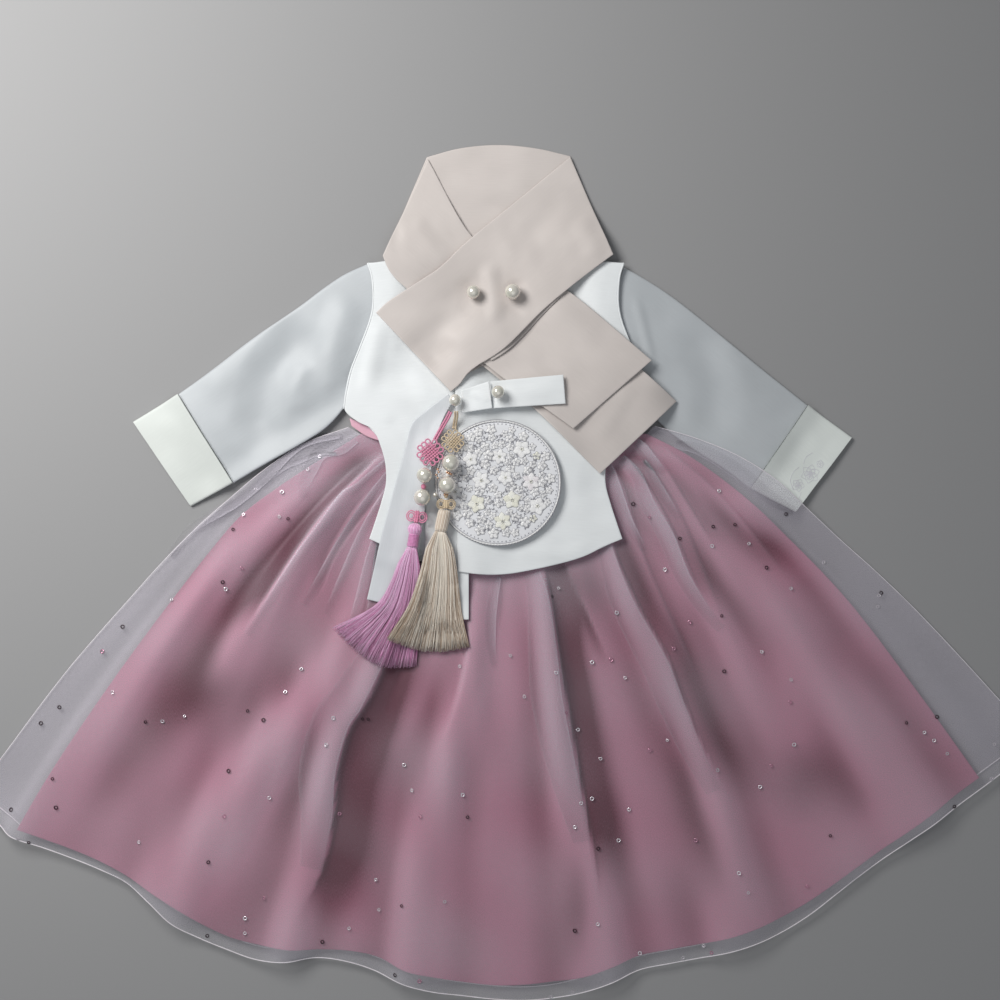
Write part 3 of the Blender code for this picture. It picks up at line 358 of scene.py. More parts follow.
# Silk threads and floss: name, colour, roughness, gloss and the colour of the lightest strands.
THREADS = (
    ("pink_thread", (0.68, 0.24, 0.50), 0.42, 0.5, (0.96, 0.66, 0.90)),
    ("beige_thread", (0.50, 0.36, 0.25), 0.42, 0.5, (1.0, 0.94, 0.84)),
    ("white_floss", (0.86, 0.86, 0.86), 0.5, 0.45, None),
    ("silver_floss", (0.36, 0.36, 0.40), 0.4, 0.4, (0.72, 0.72, 0.76)),
    ("yellow_floss", (0.82, 0.81, 0.68), 0.5, 0.45, None),
    ("blush_floss", (0.82, 0.77, 0.80), 0.5, 0.45, None),
)
# Plain finishes: name, colour, roughness and the shader's other settings.
PLAIN_FINISHES = (
    ("hem_thread", (0.84, 0.80, 0.84), 0.5, dict(Sheen_Weight=0.4)),
    ("gold", (0.80, 0.52, 0.36), 0.25, dict(Metallic=1.0)),
    ("sequin_pale", (0.86, 0.80, 0.86), 0.12, dict(Metallic=0.6, Coat_Weight=1.0)),
    # sequin_dark is painted reflection: near-black sequins that stand for shiny ones mirroring dark
    # surroundings.
    ("sequin_dark", (0.03, 0.012, 0.02), 0.3, dict(Metallic=0.3)),
    ("sequin_rose", (0.62, 0.30, 0.42), 0.14, dict(Metallic=0.7, Coat_Weight=1.0)),
)

# Fine patterns of the cloths: streaks as repeats across and along in a metre, clouds and grain as
# noise scales, and the spacing of one thread and the height of the bump in metres. MIDDLE_STOP is
# where a colour ramp with three colours has its middle one.
SATIN_FLOATS = (60, 1500)
SATIN_CLOUDS = 26.0
SATIN_THREAD = 0.00035
SATIN_STREAK_SHARE = 0.35
LINING_FLECKS = (1600, 500)
LINING_CLOUDS = 14.0
LINING_THREAD = 0.0005
ORGANZA_THREADS = (1500, 200)
ORGANZA_GRAIN = 950.0
ROPE_TWIST = 1800.0
ROPE_BUMP = 0.0003
PEARL_DRIFT = 90.0
CLOTH_BUMP = 0.0002
MIDDLE_STOP = 0.45

# The organza's opacity: lying flat, then what is added where it turns away, on ridges, near the waist
# and beyond the lining's edge. The ridges' part follows the lining's painted shade, thinner where the
# lining is painted deeper and whiter where it is painted paler.
ORGANZA_HAZE = 0.105
ORGANZA_TURN = 0.30
RIDGE_HAZE = 0.13
WAIST_HAZE = 0.14
MARGIN_HAZE = 0.03


# ---- Materials ----


def plain_material(name, colour, roughness, **sockets):
    """A Principled material. Further sockets are named with underscores for spaces."""
    material = bpy.data.materials.new(name)
    material.use_nodes = True
    shader = material.node_tree.nodes["Principled BSDF"]
    shader.inputs["Base Color"].default_value = (*colour, 1.0)
    shader.inputs["Roughness"].default_value = roughness
    for socket, value in sockets.items():
        shader.inputs[socket.replace("_", " ")].default_value = value
    return material


def add_node(material, kind, **settings):
    node = material.node_tree.nodes.new(kind)
    for name, value in settings.items():
        if name in node.inputs:
            node.inputs[name].default_value = value
        else:
            setattr(node, name, value)
    return node


def join(material, source, target):
    material.node_tree.links.new(source, target)


def shader_of(material):
    return material.node_tree.nodes["Principled BSDF"]


def uv_of(material):
    return add_node(material, "ShaderNodeTexCoord").outputs["UV"]


def arithmetic(material, operation, first, second):
    """A Math node's result. Each side is a number or another node's output."""
    node = add_node(material, "ShaderNodeMath", operation=operation)
    for socket, value in zip(node.inputs, (first, second)):
        if isinstance(value, (int, float)):
            socket.default_value = value
        else:
            join(material, value, socket)
    return node.outputs[0]


def noise(material, vector, scale, detail=2.0):
    node = add_node(material, "ShaderNodeTexNoise", Scale=scale, Detail=detail)
    join(material, vector, node.inputs["Vector"])
    return node.outputs["Fac"]


def stretched(material, vector, across, along):
    """Coordinates scaled by two factors, for streaks."""
    node = add_node(material, "ShaderNodeMapping")
    node.inputs["Scale"].default_value = (across, along, 1.0)
    join(material, vector, node.inputs["Vector"])
    return node.outputs["Vector"]


def weave_height(material, vector, thread):
    """Over and under threads of a plain weave: `thread` is one thread's spacing in metres."""
    # A band's period is 2 pi / 20 over the scale, and one thread is half of it.
    scale = math.pi / 10 / (2 * thread)
    bands = []
    for direction in ("X", "Y"):
        wave = add_node(material, "ShaderNodeTexWave", bands_direction=direction, Scale=scale)
        join(material, vector, wave.inputs["Vector"])
        bands.append(wave.outputs["Fac"])
    return arithmetic(material, "MULTIPLY", *bands)


def tint(material, factor, low, high, stops=(), middle=None):
    """A colour ramp from `low` to `high` into the base colour, with its stops moved where given."""
    ramp = add_node(material, "ShaderNodeValToRGB")
    elements = ramp.color_ramp.elements
    for stop, colour in zip(elements, (low, high)):
        stop.color = (*colour, 1.0)
    for stop, position in zip(elements, stops):
        stop.position = position
    if middle:
        elements.new(MIDDLE_STOP).color = (*middle, 1.0)
    join(material, factor, ramp.inputs["Fac"])
    join(material, ramp.outputs["Color"], shader_of(material).inputs["Base Color"])


def scaled(colour, factor):
    return tuple(min(1.0, channel * factor) for channel in colour)


def add_bump(material, height, strength, distance):
    bump = add_node(material, "ShaderNodeBump", Strength=strength, Distance=distance)
    join(material, height, bump.inputs["Height"])
    join(material, bump.outputs["Normal"], shader_of(material).inputs["Normal"])


def centred(material, value, amount):
    """A noise value drawn about zero, times an amount."""
    return arithmetic(material, "MULTIPLY", arithmetic(material, "SUBTRACT", value, 0.5), amount)


def satin_material(name, colour, roughness):
    """Satin: long floats along the weft, with faint slubs and a soft gloss across them."""
    material = plain_material(
        name, colour, roughness, Sheen_Weight=0.25, Sheen_Roughness=0.35,
        Anisotropic=0.45, Specular_IOR_Level=0.32,
    )
    uv = uv_of(material)
    streaks = noise(material, stretched(material, uv, *SATIN_FLOATS), 1.0, 1.0)
    broad = noise(material, uv, SATIN_CLOUDS, 1.0)
    mixed = arithmetic(material, "MULTIPLY_ADD", streaks, SATIN_STREAK_SHARE)
    join(material, arithmetic(material, "MULTIPLY", broad, 1 - SATIN_STREAK_SHARE), mixed.node.inputs[2])
    tint(material, mixed, scaled(colour, 0.93), scaled(colour, 1.04), (0.3, 0.7))
    rough = add_node(material, "ShaderNodeMapRange")
    rough.inputs["To Min"].default_value = roughness - 0.05
    rough.inputs["To Max"].default_value = roughness + 0.07
    join(material, streaks, rough.inputs["Value"])
    join(material, rough.outputs["Result"], shader_of(material).inputs["Roughness"])
    weave = weave_height(material, uv, SATIN_THREAD)
    add_bump(material, arithmetic(material, "ADD", streaks, weave), 0.12, CLOTH_BUMP)
    return material


def lining_material():
    """The rose lining, a matt plain weave, with painted shade: deeper rose where `hollow` is high and paler
    where it is low.
    """
    material = plain_material(
        "lining", LINING_ROSE, 0.8, Sheen_Weight=0.25, Sheen_Roughness=0.5, Specular_IOR_Level=0.2
    )
    uv = uv_of(material)
    hollow = add_node(material, "ShaderNodeAttribute", attribute_name="hollow")
    cloudy = noise(material, uv, LINING_CLOUDS, 1.0)
    fine = noise(material, stretched(material, uv, *LINING_FLECKS), 1.0, 0.0)
    speck = centred(material, fine, 0.20)
    cloud = centred(material, cloudy, 0.22)
    shade = arithmetic(material, "ADD", arithmetic(material, "ADD", hollow.outputs["Fac"], cloud), speck)
    # Painted light and shade: `hollow` runs the rose from paler on ridges to the deep fold colour.
    tint(material, shade, scaled(LINING_ROSE, 1.18), LINING_PAINTED_SHADE, middle=LINING_ROSE)
    add_bump(material, weave_height(material, uv, LINING_THREAD), 0.25, CLOTH_BUMP)
    return material


def organza_material():
    """Sheer organza: a crisp open weave, whiter where it turns away and where it lies double.

    Each wall of a shell lets the light through once, so two of them make one cloth.
    """
    material = plain_material(
        "organza", ORGANZA_TINT, 0.68, Sheen_Weight=0.3, Sheen_Roughness=0.5, Specular_IOR_Level=0.1
    )
    facing = add_node(material, "ShaderNodeLayerWeight", Blend=0.3)
    haze = add_node(material, "ShaderNodeAttribute", attribute_name="haze")
    turned = arithmetic(material, "MULTIPLY", facing.outputs["Facing"], ORGANZA_TURN)
    uv = uv_of(material)
    spots = arithmetic(material, "MULTIPLY", noise(material, uv, ORGANZA_GRAIN, 0.0), 1.5)
    grain = arithmetic(material, "ADD", spots, 0.25)
    seen = arithmetic(material, "ADD", turned, haze.outputs["Fac"])
    opacity = arithmetic(material, "MULTIPLY", seen, grain)
    join(material, opacity, shader_of(material).inputs["Alpha"])
    threads = noise(material, stretched(material, uv, *ORGANZA_THREADS), 1.0, 1.0)
    tint(material, threads, scaled(ORGANZA_TINT, 0.93), scaled(ORGANZA_TINT, 1.07))
    add_bump(material, threads, 0.15, CLOTH_BUMP)
    return material


def thread_material(name, colour, roughness, gloss, light):
    """Silk floss: each strand its own tone of the colour, up to the light one, by its `strand` value. On the
    tassels that value also holds painted light and painted shade.
    """
    material = plain_material(
        name, colour, roughness, Sheen_Weight=0.4, Anisotropic=0.5, Specular_IOR_Level=gloss
    )
    spread = add_node(material, "ShaderNodeAttribute", attribute_name="strand")
    tint(material, spread.outputs["Fac"], scaled(colour, 0.55), light or scaled(colour, 1.4), middle=colour)
    return material


def rope_material(name, colour, roughness):
    """Twisted silk rope."""
    material = plain_material(name, colour, roughness, Sheen_Weight=0.4, Specular_IOR_Level=0.5)
    place = add_node(material, "ShaderNodeTexCoord").outputs["Object"]
    twist = noise(material, place, ROPE_TWIST)
    tint(material, twist, scaled(colour, 0.72), scaled(colour, 1.25))
    add_bump(material, twist, 0.5, ROPE_BUMP)
    return material


def pearl_material():
    """Ivory pearl with a faint green and rose cast that drifts over it."""
    material = plain_material(
        "pearl", PEARL_IVORY, 0.2, Metallic=0.35, Coat_Weight=1.0, Coat_Roughness=0.05, Specular_IOR_Level=0.6
    )
    place = add_node(material, "ShaderNodeTexCoord").outputs["Object"]
    tint(material, noise(material, place, PEARL_DRIFT), PEARL_GREEN, PEARL_ROSE, (0.35, 0.65))
    return material


def make_materials():
    made = {"organza": organza_material(), "lining": lining_material(), "pearl": pearl_material()}
    for table, maker in ((SATINS, satin_material), (ROPES, rope_material), (THREADS, thread_material)):
        for row in table:
            made[row[0]] = maker(*row)
    for name, colour, roughness, sockets in PLAIN_FINISHES:
        made[name] = plain_material(name, colour, roughness, **sockets)
    return made


# ---- Shapes ----

# Points on each span of a curve, how far inside a solid's edge its height is read, a shift that
# keeps the rays off the joins of its faces, the waves in one swell and their usual length, and the
# part of a wall that its rounded edge takes off on each side.
CURVE_STEPS = 12
RAY_REACHES = (0.35, 0.8, 1.6, 3.0, 5.0)
RAY_OFFSET = (0.011, 0.017)
WAVE_COUNT = 6
SWELL_PERIOD = 60.0
ROUNDING = 0.46


def run_along(points):
    """Length along a line up to each of its points."""
    return np.concatenate([[0], np.cumsum(np.linalg.norm(np.diff(points, axis=0), axis=1))])


def smooth_curve(points, count):
    """`count` evenly spaced points on a smooth curve through `points`."""
    knots = np.array(points, float)
    fine = spline_along(knots, np.linspace(0, 1, CURVE_STEPS * (len(knots) - 1) + 1))
    along = run_along(fine)
    wanted = np.linspace(0, along[-1], count)
    return np.column_stack([np.interp(wanted, along, axis) for axis in fine.T])


def between(first, second, count):
    """Points evenly spread between matching points of two edges, one row for each point."""
    share = np.linspace(0, 1, count)[None, :, None]
    return first[:, None] * (1 - share) + second[:, None] * share


def patch_grid(left, right, top, low):
    """A grid that fills four edges: left and right run down, top and low run across."""
    down = np.linspace(0, 1, len(left))[:, None, None]
    across = np.linspace(0, 1, len(top))[None, :, None]
    sides = (1 - across) * left[:, None] + across * right[:, None]
    ends = (1 - down) * top[None] + down * low[None]
    upper = (1 - across) * top[0] + across * top[-1]
    lower = (1 - across) * low[0] + across * low[-1]
    return sides + ends - (1 - down) * upper - down * lower


def strip_grid(top, low, rows, columns):
    """The plan of a strip between two long edges."""
    return between(smooth_curve(top, columns), smooth_curve(low, columns), rows).transpose(1, 0, 2)


def rotated(points, angle):
    """Plan points turned by an angle in radians."""
    x, y = points[..., 0], points[..., 1]
    cosine, sine = math.cos(angle), math.sin(angle)
    return np.stack([x * cosine - y * sine, x * sine + y * cosine], -1)


def sideways(route):
    """Unit vectors to the left of each step along a plan route."""
    way = np.gradient(route, axis=0)
    way /= np.linalg.norm(way, axis=1)[:, None]
    return np.column_stack([-way[:, 1], way[:, 0]])


def ramp(value, start, end):
    share = np.clip((value - start) / (end - start), 0, 1)
    return share * share * (3 - 2 * share)


def spline_along(values, shares):
    """Reads the first axis of `values` at shares of its length, on a smooth curve through them."""
    count = len(values)
    padded = np.concatenate([2 * values[:1] - values[1:2], values, 2 * values[-1:] - values[-2:-1]])
    place = np.clip(shares, 0, 1) * (count - 1)
    start = np.minimum(place.astype(int), count - 2)
    u = (place - start).reshape(-1, *([1] * (values.ndim - 1)))
    before, first, second, after = (padded[start + step] for step in range(4))
    bend = (2 * before - 5 * first + 4 * second - after) * u**2
    twist = (3 * first - before - 3 * second + after) * u**3
    return 0.5 * (2 * first + (second - before) * u + bend + twist)


def refine(values, rows, columns):
    """A smooth surface through a coarse grid of values, read at shares of its rows and columns."""
    return spline_along(spline_along(values, rows).swapaxes(0, 1), columns).swapaxes(0, 1)


def refined(layers, counts):
    """A coarse grid made fine: its values, the shares of its two sides and those sides' lengths."""
    lengths = side_lengths(layers[..., :2])
    rows, columns = (edge_shares(count, length) for count, length in zip(counts, lengths))
    return refine(layers, rows, columns), rows, columns, lengths


def rows_of(table, columns):
    """Each row of a table as a dictionary."""
    return [dict(zip(columns, row)) for row in table]


def tree_of(name):
    mesh = bpy.data.objects[name].data
    points = [vertex.co for vertex in mesh.vertices]
    return BVHTree.FromPolygons(points, [tuple(face.vertices) for face in mesh.polygons])


def height_at(tree, point, upward=False):
    """Height in millimetres of what a vertical ray meets first, or None."""
    start = Vector((point[0] * MM, point[1] * MM, -1 if upward else 1))
    hit = tree.ray_cast(start, Vector((0, 0, 1 if upward else -1)))[0]
    return None if hit is None else hit.z / MM


def heights_on(tree, plan):
    """Height of what lies under each plan point, or 0 where nothing does."""
    found = np.zeros(plan.shape[:-1])
    for place in np.ndindex(found.shape):
        found[place] = height_at(tree, plan[place]) or 0.0
    return found


def solid_heights(name, grid, upward=False):
    """Heights of a solid's upper or lower face at plan points, read just inside its edge."""
    tree = tree_of(name)
    rows, columns = grid.shape[:2]
    found = np.zeros((rows, columns))
    for row in range(rows):
        for column in range(columns):
            inside = grid[min(max(row, 1), rows - 2), min(max(column, 1), columns - 2)]
            way = inside - grid[row, column]
            size = max(float(np.linalg.norm(way)), 1e-9)
            for reach in RAY_REACHES:
                point = grid[row, column] + way / size * min(reach, size) + RAY_OFFSET
                height = height_at(tree, point, upward)
                if height is not None:
                    break
            found[row, column] = height
    return found


def side_lengths(grid):
    """Mean length of a grid down its columns and along its rows."""
    down = np.linalg.norm(np.diff(grid, axis=0), axis=2).sum(axis=0).mean()
    along = np.linalg.norm(np.diff(grid, axis=1), axis=2).sum(axis=1).mean()
    return down, along


def edge_shares(count, length):
    """Shares of a side, closely spaced at both ends for its rounded edge."""
    near = np.array(EDGE_STEPS) / length
    inner = np.linspace(0, 1, count)[1:-1]
    clear = near[-1] * 1.4
    inner = inner[(inner > clear) & (inner < 1 - clear)]
    return np.concatenate([near, inner, 1 - near[::-1]])


def edge_drop(rows, columns, lengths):
    """Share of the quarter-round drop at each point of a grid: 0 inside and 1 at its edge."""
    down = np.minimum(rows, 1 - rows)[:, None] * lengths[0]
    along = np.minimum(columns, 1 - columns)[None, :] * lengths[1]
    inward = np.clip(1 - np.minimum(down, along) / EDGE_RADIUS, 0, 1)
    return 1 - np.sqrt(1 - inward**2)


def crease_height(plan, name):
    """The soft creases of one satin piece at plan points."""
    total = np.zeros(plan.shape[:2])
    for crease in rows_of(CREASES.get(name, ()), CREASE_COLUMNS):
        distance, _, along = line_distance(plan, crease["line"])
        ends = ramp(along, 0.0, 0.25) * (1 - ramp(along, 0.75, 1.0))
        total += crease["height"] * ends * (1 - ramp(distance, 0, crease["width"]))
    return total


def line_distance(plan, line):
    """Distance of plan points from a line, which side they are on, and how far along it."""
    knots = smooth_curve(line, 4 * len(line))
    starts = run_along(knots)
    nearest = np.full(plan.shape[:2], 1e9)
    side = np.zeros(plan.shape[:2])
    along = np.zeros(plan.shape[:2])
    for index, length in enumerate(np.diff(starts)):
        way = (knots[index + 1] - knots[index]) / length
        reach = (plan - knots[index]) @ way
        held = np.clip(reach, 0, length)
        gap = plan - (knots[index] + held[..., None] * way)
        distance = np.linalg.norm(gap, axis=-1)
        closer = distance < nearest
        nearest = np.where(closer, distance, nearest)
        # Positive to the viewer's right of a line that runs down the page.
        across = gap[..., 0] * -way[1] + gap[..., 1] * way[0]
        side = np.where(closer, np.where(across >= 0, 1.0, -1.0), side)
        along = np.where(closer, (starts[index] + held) / starts[-1], along)
    return nearest, side, along


def waves(plan, height, length, seed):
    """Slow uneven swells, as in cloth that has been folded away."""
    chance = np.random.default_rng(seed)
    total = np.zeros(plan.shape[:2])
    for _ in range(WAVE_COUNT):
        angle = chance.uniform(0, math.pi)
        period = length * chance.uniform(0.6, 1.7)
        phase = chance.uniform(0, 2 * math.pi)
        run = plan[..., 0] * math.cos(angle) + plan[..., 1] * math.sin(angle)
        total += np.sin(run * 2 * math.pi / period + phase)
    return height * total / WAVE_COUNT


def grid_faces(rows, columns, start, flipped, wrap=False):
    """Quads between the points of a grid, joined round from the last row to the first if wrapped."""
    faces = []
    for row in range(rows if wrap else rows - 1):
        first, after = start + row * columns, start + (row + 1) % rows * columns
        for column in range(columns - 1):
            quad = (first + column, first + column + 1, after + column + 1, after + column)
            faces.append(quad if flipped else quad[::-1])
    return faces


def closed_faces(rows, columns, flipped):
    """Faces of an upper grid, of a lower grid that follows it and of the rim between the two."""
    count = rows * columns
    faces = grid_faces(rows, columns, 0, flipped) + grid_faces(rows, columns, count, not flipped)
    rim = [*range(columns), *range(2 * columns - 1, count, columns)]
    rim += [*range(count - 2, count - columns - 1, -1), *range(count - 2 * columns, 0, -columns)]
    for first, second in zip(rim, rim[1:] + rim[:1]):
        if flipped:
            first, second = second, first
        faces.append((first, second, count + second, count + first))
    return faces


def cloth_uv(points, grain):
    """Cloth coordinates in metres of plan points, with the weft turned by `grain` degrees."""
    return rotated(points * MM, -math.radians(grain))


def add_object(name, points, faces, materials, uv=None, attributes=None, kinds=None):
    """A smooth-shaded mesh from points in millimetres."""
    mesh = bpy.data.meshes.new(name)
    mesh.from_pydata((np.asarray(points, float) * MM).tolist(), [], faces)
    for material in materials:
        mesh.materials.append(material)
    if uv is not None:
        layer = mesh.uv_layers.new(name="cloth")
        corners = np.zeros(len(mesh.loops), int)
        mesh.loops.foreach_get("vertex_index", corners)
        layer.data.foreach_set("uv", np.asarray(uv, np.float32)[corners].ravel())
    for key, values in (attributes or {}).items():
        attribute = mesh.attributes.new(key, "FLOAT", "POINT")
        attribute.data.foreach_set("value", np.asarray(values, np.float32))
    if kinds is not None:
        mesh.polygons.foreach_set("material_index", np.asarray(kinds, np.int32))
    mesh.polygons.foreach_set("use_smooth", np.ones(len(mesh.polygons), bool))
    mesh.validate()
    mesh.update()
    obj = bpy.data.objects.new(name, mesh)
    bpy.context.scene.collection.objects.link(obj)
    return obj


def shell_object(name, plan, top, drop, wall, material, grain, attributes=None):
    """A closed cloth shell under the heights `top`, with its edges rounded by `drop`."""
    rounding = ROUNDING * wall * drop
    levels = (top - rounding, top - wall + rounding)
    points = np.vstack([np.dstack([plan, level]).reshape(-1, 3) for level in levels])
    uv = cloth_uv(points, grain)
    doubled = {key: np.tile(values.ravel(), 2) for key, values in (attributes or {}).items()}
    return add_object(name, points, closed_faces(*top.shape, False), [material], uv, doubled)


def cloth(name, grid, counts, wall, material, grain=0.0, swell=0.25, seed=1):
    """A cloth piece on the upper face of the solid of the same name."""
    fine, rows, columns, lengths = refined(np.dstack([grid, solid_heights(name, grid)]), counts)
    plan = fine[..., :2]
    top = fine[..., 2] + crease_height(plan, name) + waves(plan, swell, SWELL_PERIOD, seed)
    drop = edge_drop(rows, columns, lengths)
    return finish_piece(shell_object(f"{name}_cloth", plan, top, drop, wall, material, grain), name)


def slot_of(material):
    """The slot that a material is made for. Blender numbers a name that is already taken."""
    return material.name.split(".")[0]


def finish_piece(obj, node):
    """Fixes a piece to the part's body, in place of its solid."""
    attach(obj, "root")
    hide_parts(node)
    return obj


# ---- The skirt ----


def skirt_grids():
    """Plan grids of the lining and of the organza. The organza's holds every point of the lining's."""
    columns, rows, margin = SKIRT_COLUMNS, SKIRT_ROWS, MARGIN_COLUMNS
    left = smooth_curve(LINING_LEFT, rows)
    right = smooth_curve(LINING_RIGHT, rows)
    top = smooth_curve((LINING_LEFT[0], WAIST_MIDDLE, LINING_RIGHT[0]), columns)
    lining = patch_grid(left, right, top, smooth_curve(LINING_HEM, columns))
    outer_left = smooth_curve(ORGANZA_LEFT, rows)
    outer_right = smooth_curve(ORGANZA_RIGHT, rows)
    left_part = between(outer_left, left, margin + 1)[:, :-1]
    right_part = between(right, outer_right, margin + 1)[:, 1:]
    organza = np.concatenate([left_part, lining, right_part], axis=1)
    hem = smooth_curve(ORGANZA_HEM, columns)
    left_corner = between(np.array([ORGANZA_LEFT_CORNER], float), hem[:1], margin + 1)[0, :-1]
    right_corner = between(hem[-1:], np.array([ORGANZA_RIGHT_CORNER], float), margin + 1)[0, 1:]
    lowest = np.concatenate([left_corner, hem, right_corner])
    return lining, np.concatenate([organza, lowest[None]], axis=0)


def pleat_height(plan):
    total = np.zeros(plan.shape[:2])
    for pleat in rows_of(PLEATS, PLEAT_COLUMNS):
        distance, side, along = line_distance(plan, pleat["crest"])
        steep = side == pleat["side"]
        fade = ramp(along, -PLEAT_FADE_IN, PLEAT_FADE_IN) * (1 - ramp(along, 1 - PLEAT_FADE_OUT, 1.0))
        gentle = pleat["height"] * (1 - ramp(distance, 0, pleat["rise"]))
        fall = pleat["height"] - (pleat["height"] + pleat["depth"]) * ramp(distance, 0, pleat["drop"])
        end = pleat["drop"] + pleat["hollow"]
        beyond = -pleat["depth"] * (1 - ramp(distance, pleat["drop"], end))
        shape = np.where(steep, np.where(distance < pleat["drop"], fall, beyond), gentle)
        total += PLEAT_RELIEF * fade * shape
    return total


def pleat_shade(plan):
    """How deep in shade each point lies beside the pleats, from 0 to 1."""
    total = np.zeros(plan.shape[:2])
    for pleat in rows_of(PLEATS, PLEAT_COLUMNS):
        distance, side, along = line_distance(plan, pleat["crest"])
        fade = ramp(along, -0.02, PLEAT_FADE_IN) * (1 - ramp(along, 0.72, 1.0))
        reach = pleat["hollow"] * (0.75 + 0.4 * along)
        beyond = ramp(distance, 0.0, 1.5) * (1 - ramp(distance, 0.45 * reach, 1.25 * reach))
        total = np.maximum(total, fade * pleat["shade"] * np.where(side == pleat["side"], beyond, 0.0))
    return total


def soft_patches(plan, table):
    """The sum of the soft oval patches of a table at each point."""
    total = np.zeros(plan.shape[:2])
    for patch in rows_of(table, OVAL_COLUMNS):
        turned = rotated(plan - np.array(patch["centre"], float), -math.radians(patch["angle"]))
        along, across = turned[..., 0] / patch["length"], turned[..., 1] / patch["width"]
        total += patch["height"] * np.exp(-(along**2 + across**2) * 1.4)
    return total


def gather_height(plan):
    """Fine gathers that run out from the waist, uneven in depth."""
    gap = plan - np.array(SKIRT_CENTRE, float)
    angle = np.arctan2(gap[..., 0], -gap[..., 1])
    radius = np.linalg.norm(gap, axis=-1)
    drift = 0.35 * np.sin(3.1 * angle + radius / 70) + 0.25 * np.sin(7.3 * angle - radius / 43)
    ripple = np.sin(GATHER_COUNT * angle / 2 + 6 * drift)
    depth = 0.55 + 0.45 * np.sin(5.3 * angle + 1.3)
    return GATHER_HEIGHT * ripple * depth * (1 - ramp(radius, 0.3 * GATHER_REACH, 1.6 * GATHER_REACH))


def jacket_cover(plan):
    """1 where the jacket or a tie lies over the skirt, falling to 0 a little beyond it."""
    outline = [*JACKET_SIDE, *JACKET_HEM[1:], *mirrored(JACKET_SIDE)[::-1]]
    tails = [*SHORT_TIE_LEFT, *SHORT_TIE_RIGHT[::-1]], [*LONG_TIE_LEFT, *LONG_TIE_RIGHT[::-1]]
    cover = np.zeros(plan.shape[:2])
    for ring in (outline, *tails):
        ring = np.array(ring, float)
        inside = np.zeros(plan.shape[:2], bool)
        nearest = np.full(plan.shape[:2], 1e9)
        for first, second in zip(ring, np.roll(ring, -1, axis=0)):
            way = second - first
            size = max(float(np.linalg.norm(way)), 1e-9)
            held = np.clip((plan - first) @ way / size**2, 0, 1)
            nearest = np.minimum(nearest, np.linalg.norm(plan - first - held[..., None] * way, axis=-1))
            crosses = (first[1] > plan[..., 1]) != (second[1] > plan[..., 1])
            rise = second[1] - first[1] if second[1] != first[1] else 1e-9
            inside ^= crosses & (plan[..., 0] < (plan[..., 1] - first[1]) / rise * way[0] + first[0])
        signed = np.where(inside, -nearest, nearest)
        cover = np.maximum(cover, 1 - ramp(signed, -5.0, 24.0))
    return cover


def skirt_relief(plan):
    """All the finer folds of the skirt's front. Only hollows pass under the jacket."""
    raised = pleat_height(plan) + SWELL_RELIEF * soft_patches(plan, SWELLS)
    return np.where(raised > 0, raised * (1 - jacket_cover(plan)), raised)


def blurred(values, steps):
    """A box blur of a grid, twice over."""
    for _ in range(2):
        for axis in (0, 1):
            wide = np.pad(values, [(steps, steps) if side == axis else (0, 0) for side in (0, 1)], "edge")
            total = np.cumsum(wide, axis=axis)
            first = np.take(total, range(2 * steps, total.shape[axis]), axis)
            before = np.take(total, range(0, total.shape[axis] - 2 * steps), axis)
            values = (first - before) / (2 * steps)
    return values


def skirt_layer(name, grid, counts, wall, material, lowest, ripple):
    """One layer of the skirt's front on its solid, with its folds and the painted shade `hollow` of each
    point.
    """
    fine, rows, columns, lengths = refined(np.dstack([grid, solid_heights(name, grid)]), counts)
    plan, base = fine[..., :2], fine[..., 2]
    relief = np.maximum(skirt_relief(plan), lowest(base) - base)
    inside = ramp(np.minimum(columns, 1 - columns), 0.0, 0.05)[None, :] * ramp(1 - rows, 0.0, 0.04)[:, None]
    top = base + inside * relief + ripple * gather_height(plan) * (1 - jacket_cover(plan))
    # Painted shade: `hollow` darkens the lining in hollows of the relief and beside the pleats, and the
    # patches deepen or lighten it.
    shade = pleat_shade(plan)
    depth = (blurred(top, PAINTED_SHADE_BLUR) - top) / PAINTED_SHADE_DEPTH * (1 - 0.6 * shade)
    folds = soft_patches(plan, PAINTED_SHADE_PATCHES)
    hollow = np.clip(PAINTED_SHADE_FLAT + depth + PLEAT_PAINTED_SHADE * shade + folds, 0, 1)
    drop = edge_drop(rows, columns, lengths)
    marks = {"hollow": hollow, "haze": organza_haze(plan, hollow, columns)}
    shell = shell_object(f"{name}_cloth", plan, top, drop, wall, material, 0.0, marks)
    return finish_piece(shell, name), plan, top


def organza_haze(plan, hollow, columns):
    """How white the organza looks: more on ridges, at the waist and beyond the lining's edge. Its ridge part
    follows the painted shade `hollow`: partly cloth lying double, partly painted light and shade.
    """
    gap = plan - np.array(SKIRT_CENTRE, float)
    crowded = 1 - ramp(np.linalg.norm(gap, axis=-1), 110, 250)
    streaks = 0.5 + 0.5 * np.clip(gather_height(plan) / GATHER_HEIGHT, -1, 1)
    cloudy = waves(plan, 0.05, 90.0, 7)
    edge = MARGIN_COLUMNS / (SKIRT_COLUMNS + 2 * MARGIN_COLUMNS - 1)
    outer = 1 - ramp(np.minimum(columns, 1 - columns), 0.8 * edge, edge)[None, :]
    haze = ORGANZA_HAZE + RIDGE_HAZE * (PAINTED_SHADE_FLAT - hollow) + WAIST_HAZE * crowded * streaks + cloudy
    return np.clip(haze + MARGIN_HAZE * outer, 0.02, 1)


def closed_sheet(plan, top, wall):
    """Points and faces of a thin closed sheet whose upper face is at the heights `top`."""
    upper = np.dstack([plan, top]).reshape(-1, 3)
    return np.vstack([upper, upper - (0, 0, wall)]), closed_faces(*top.shape, True)


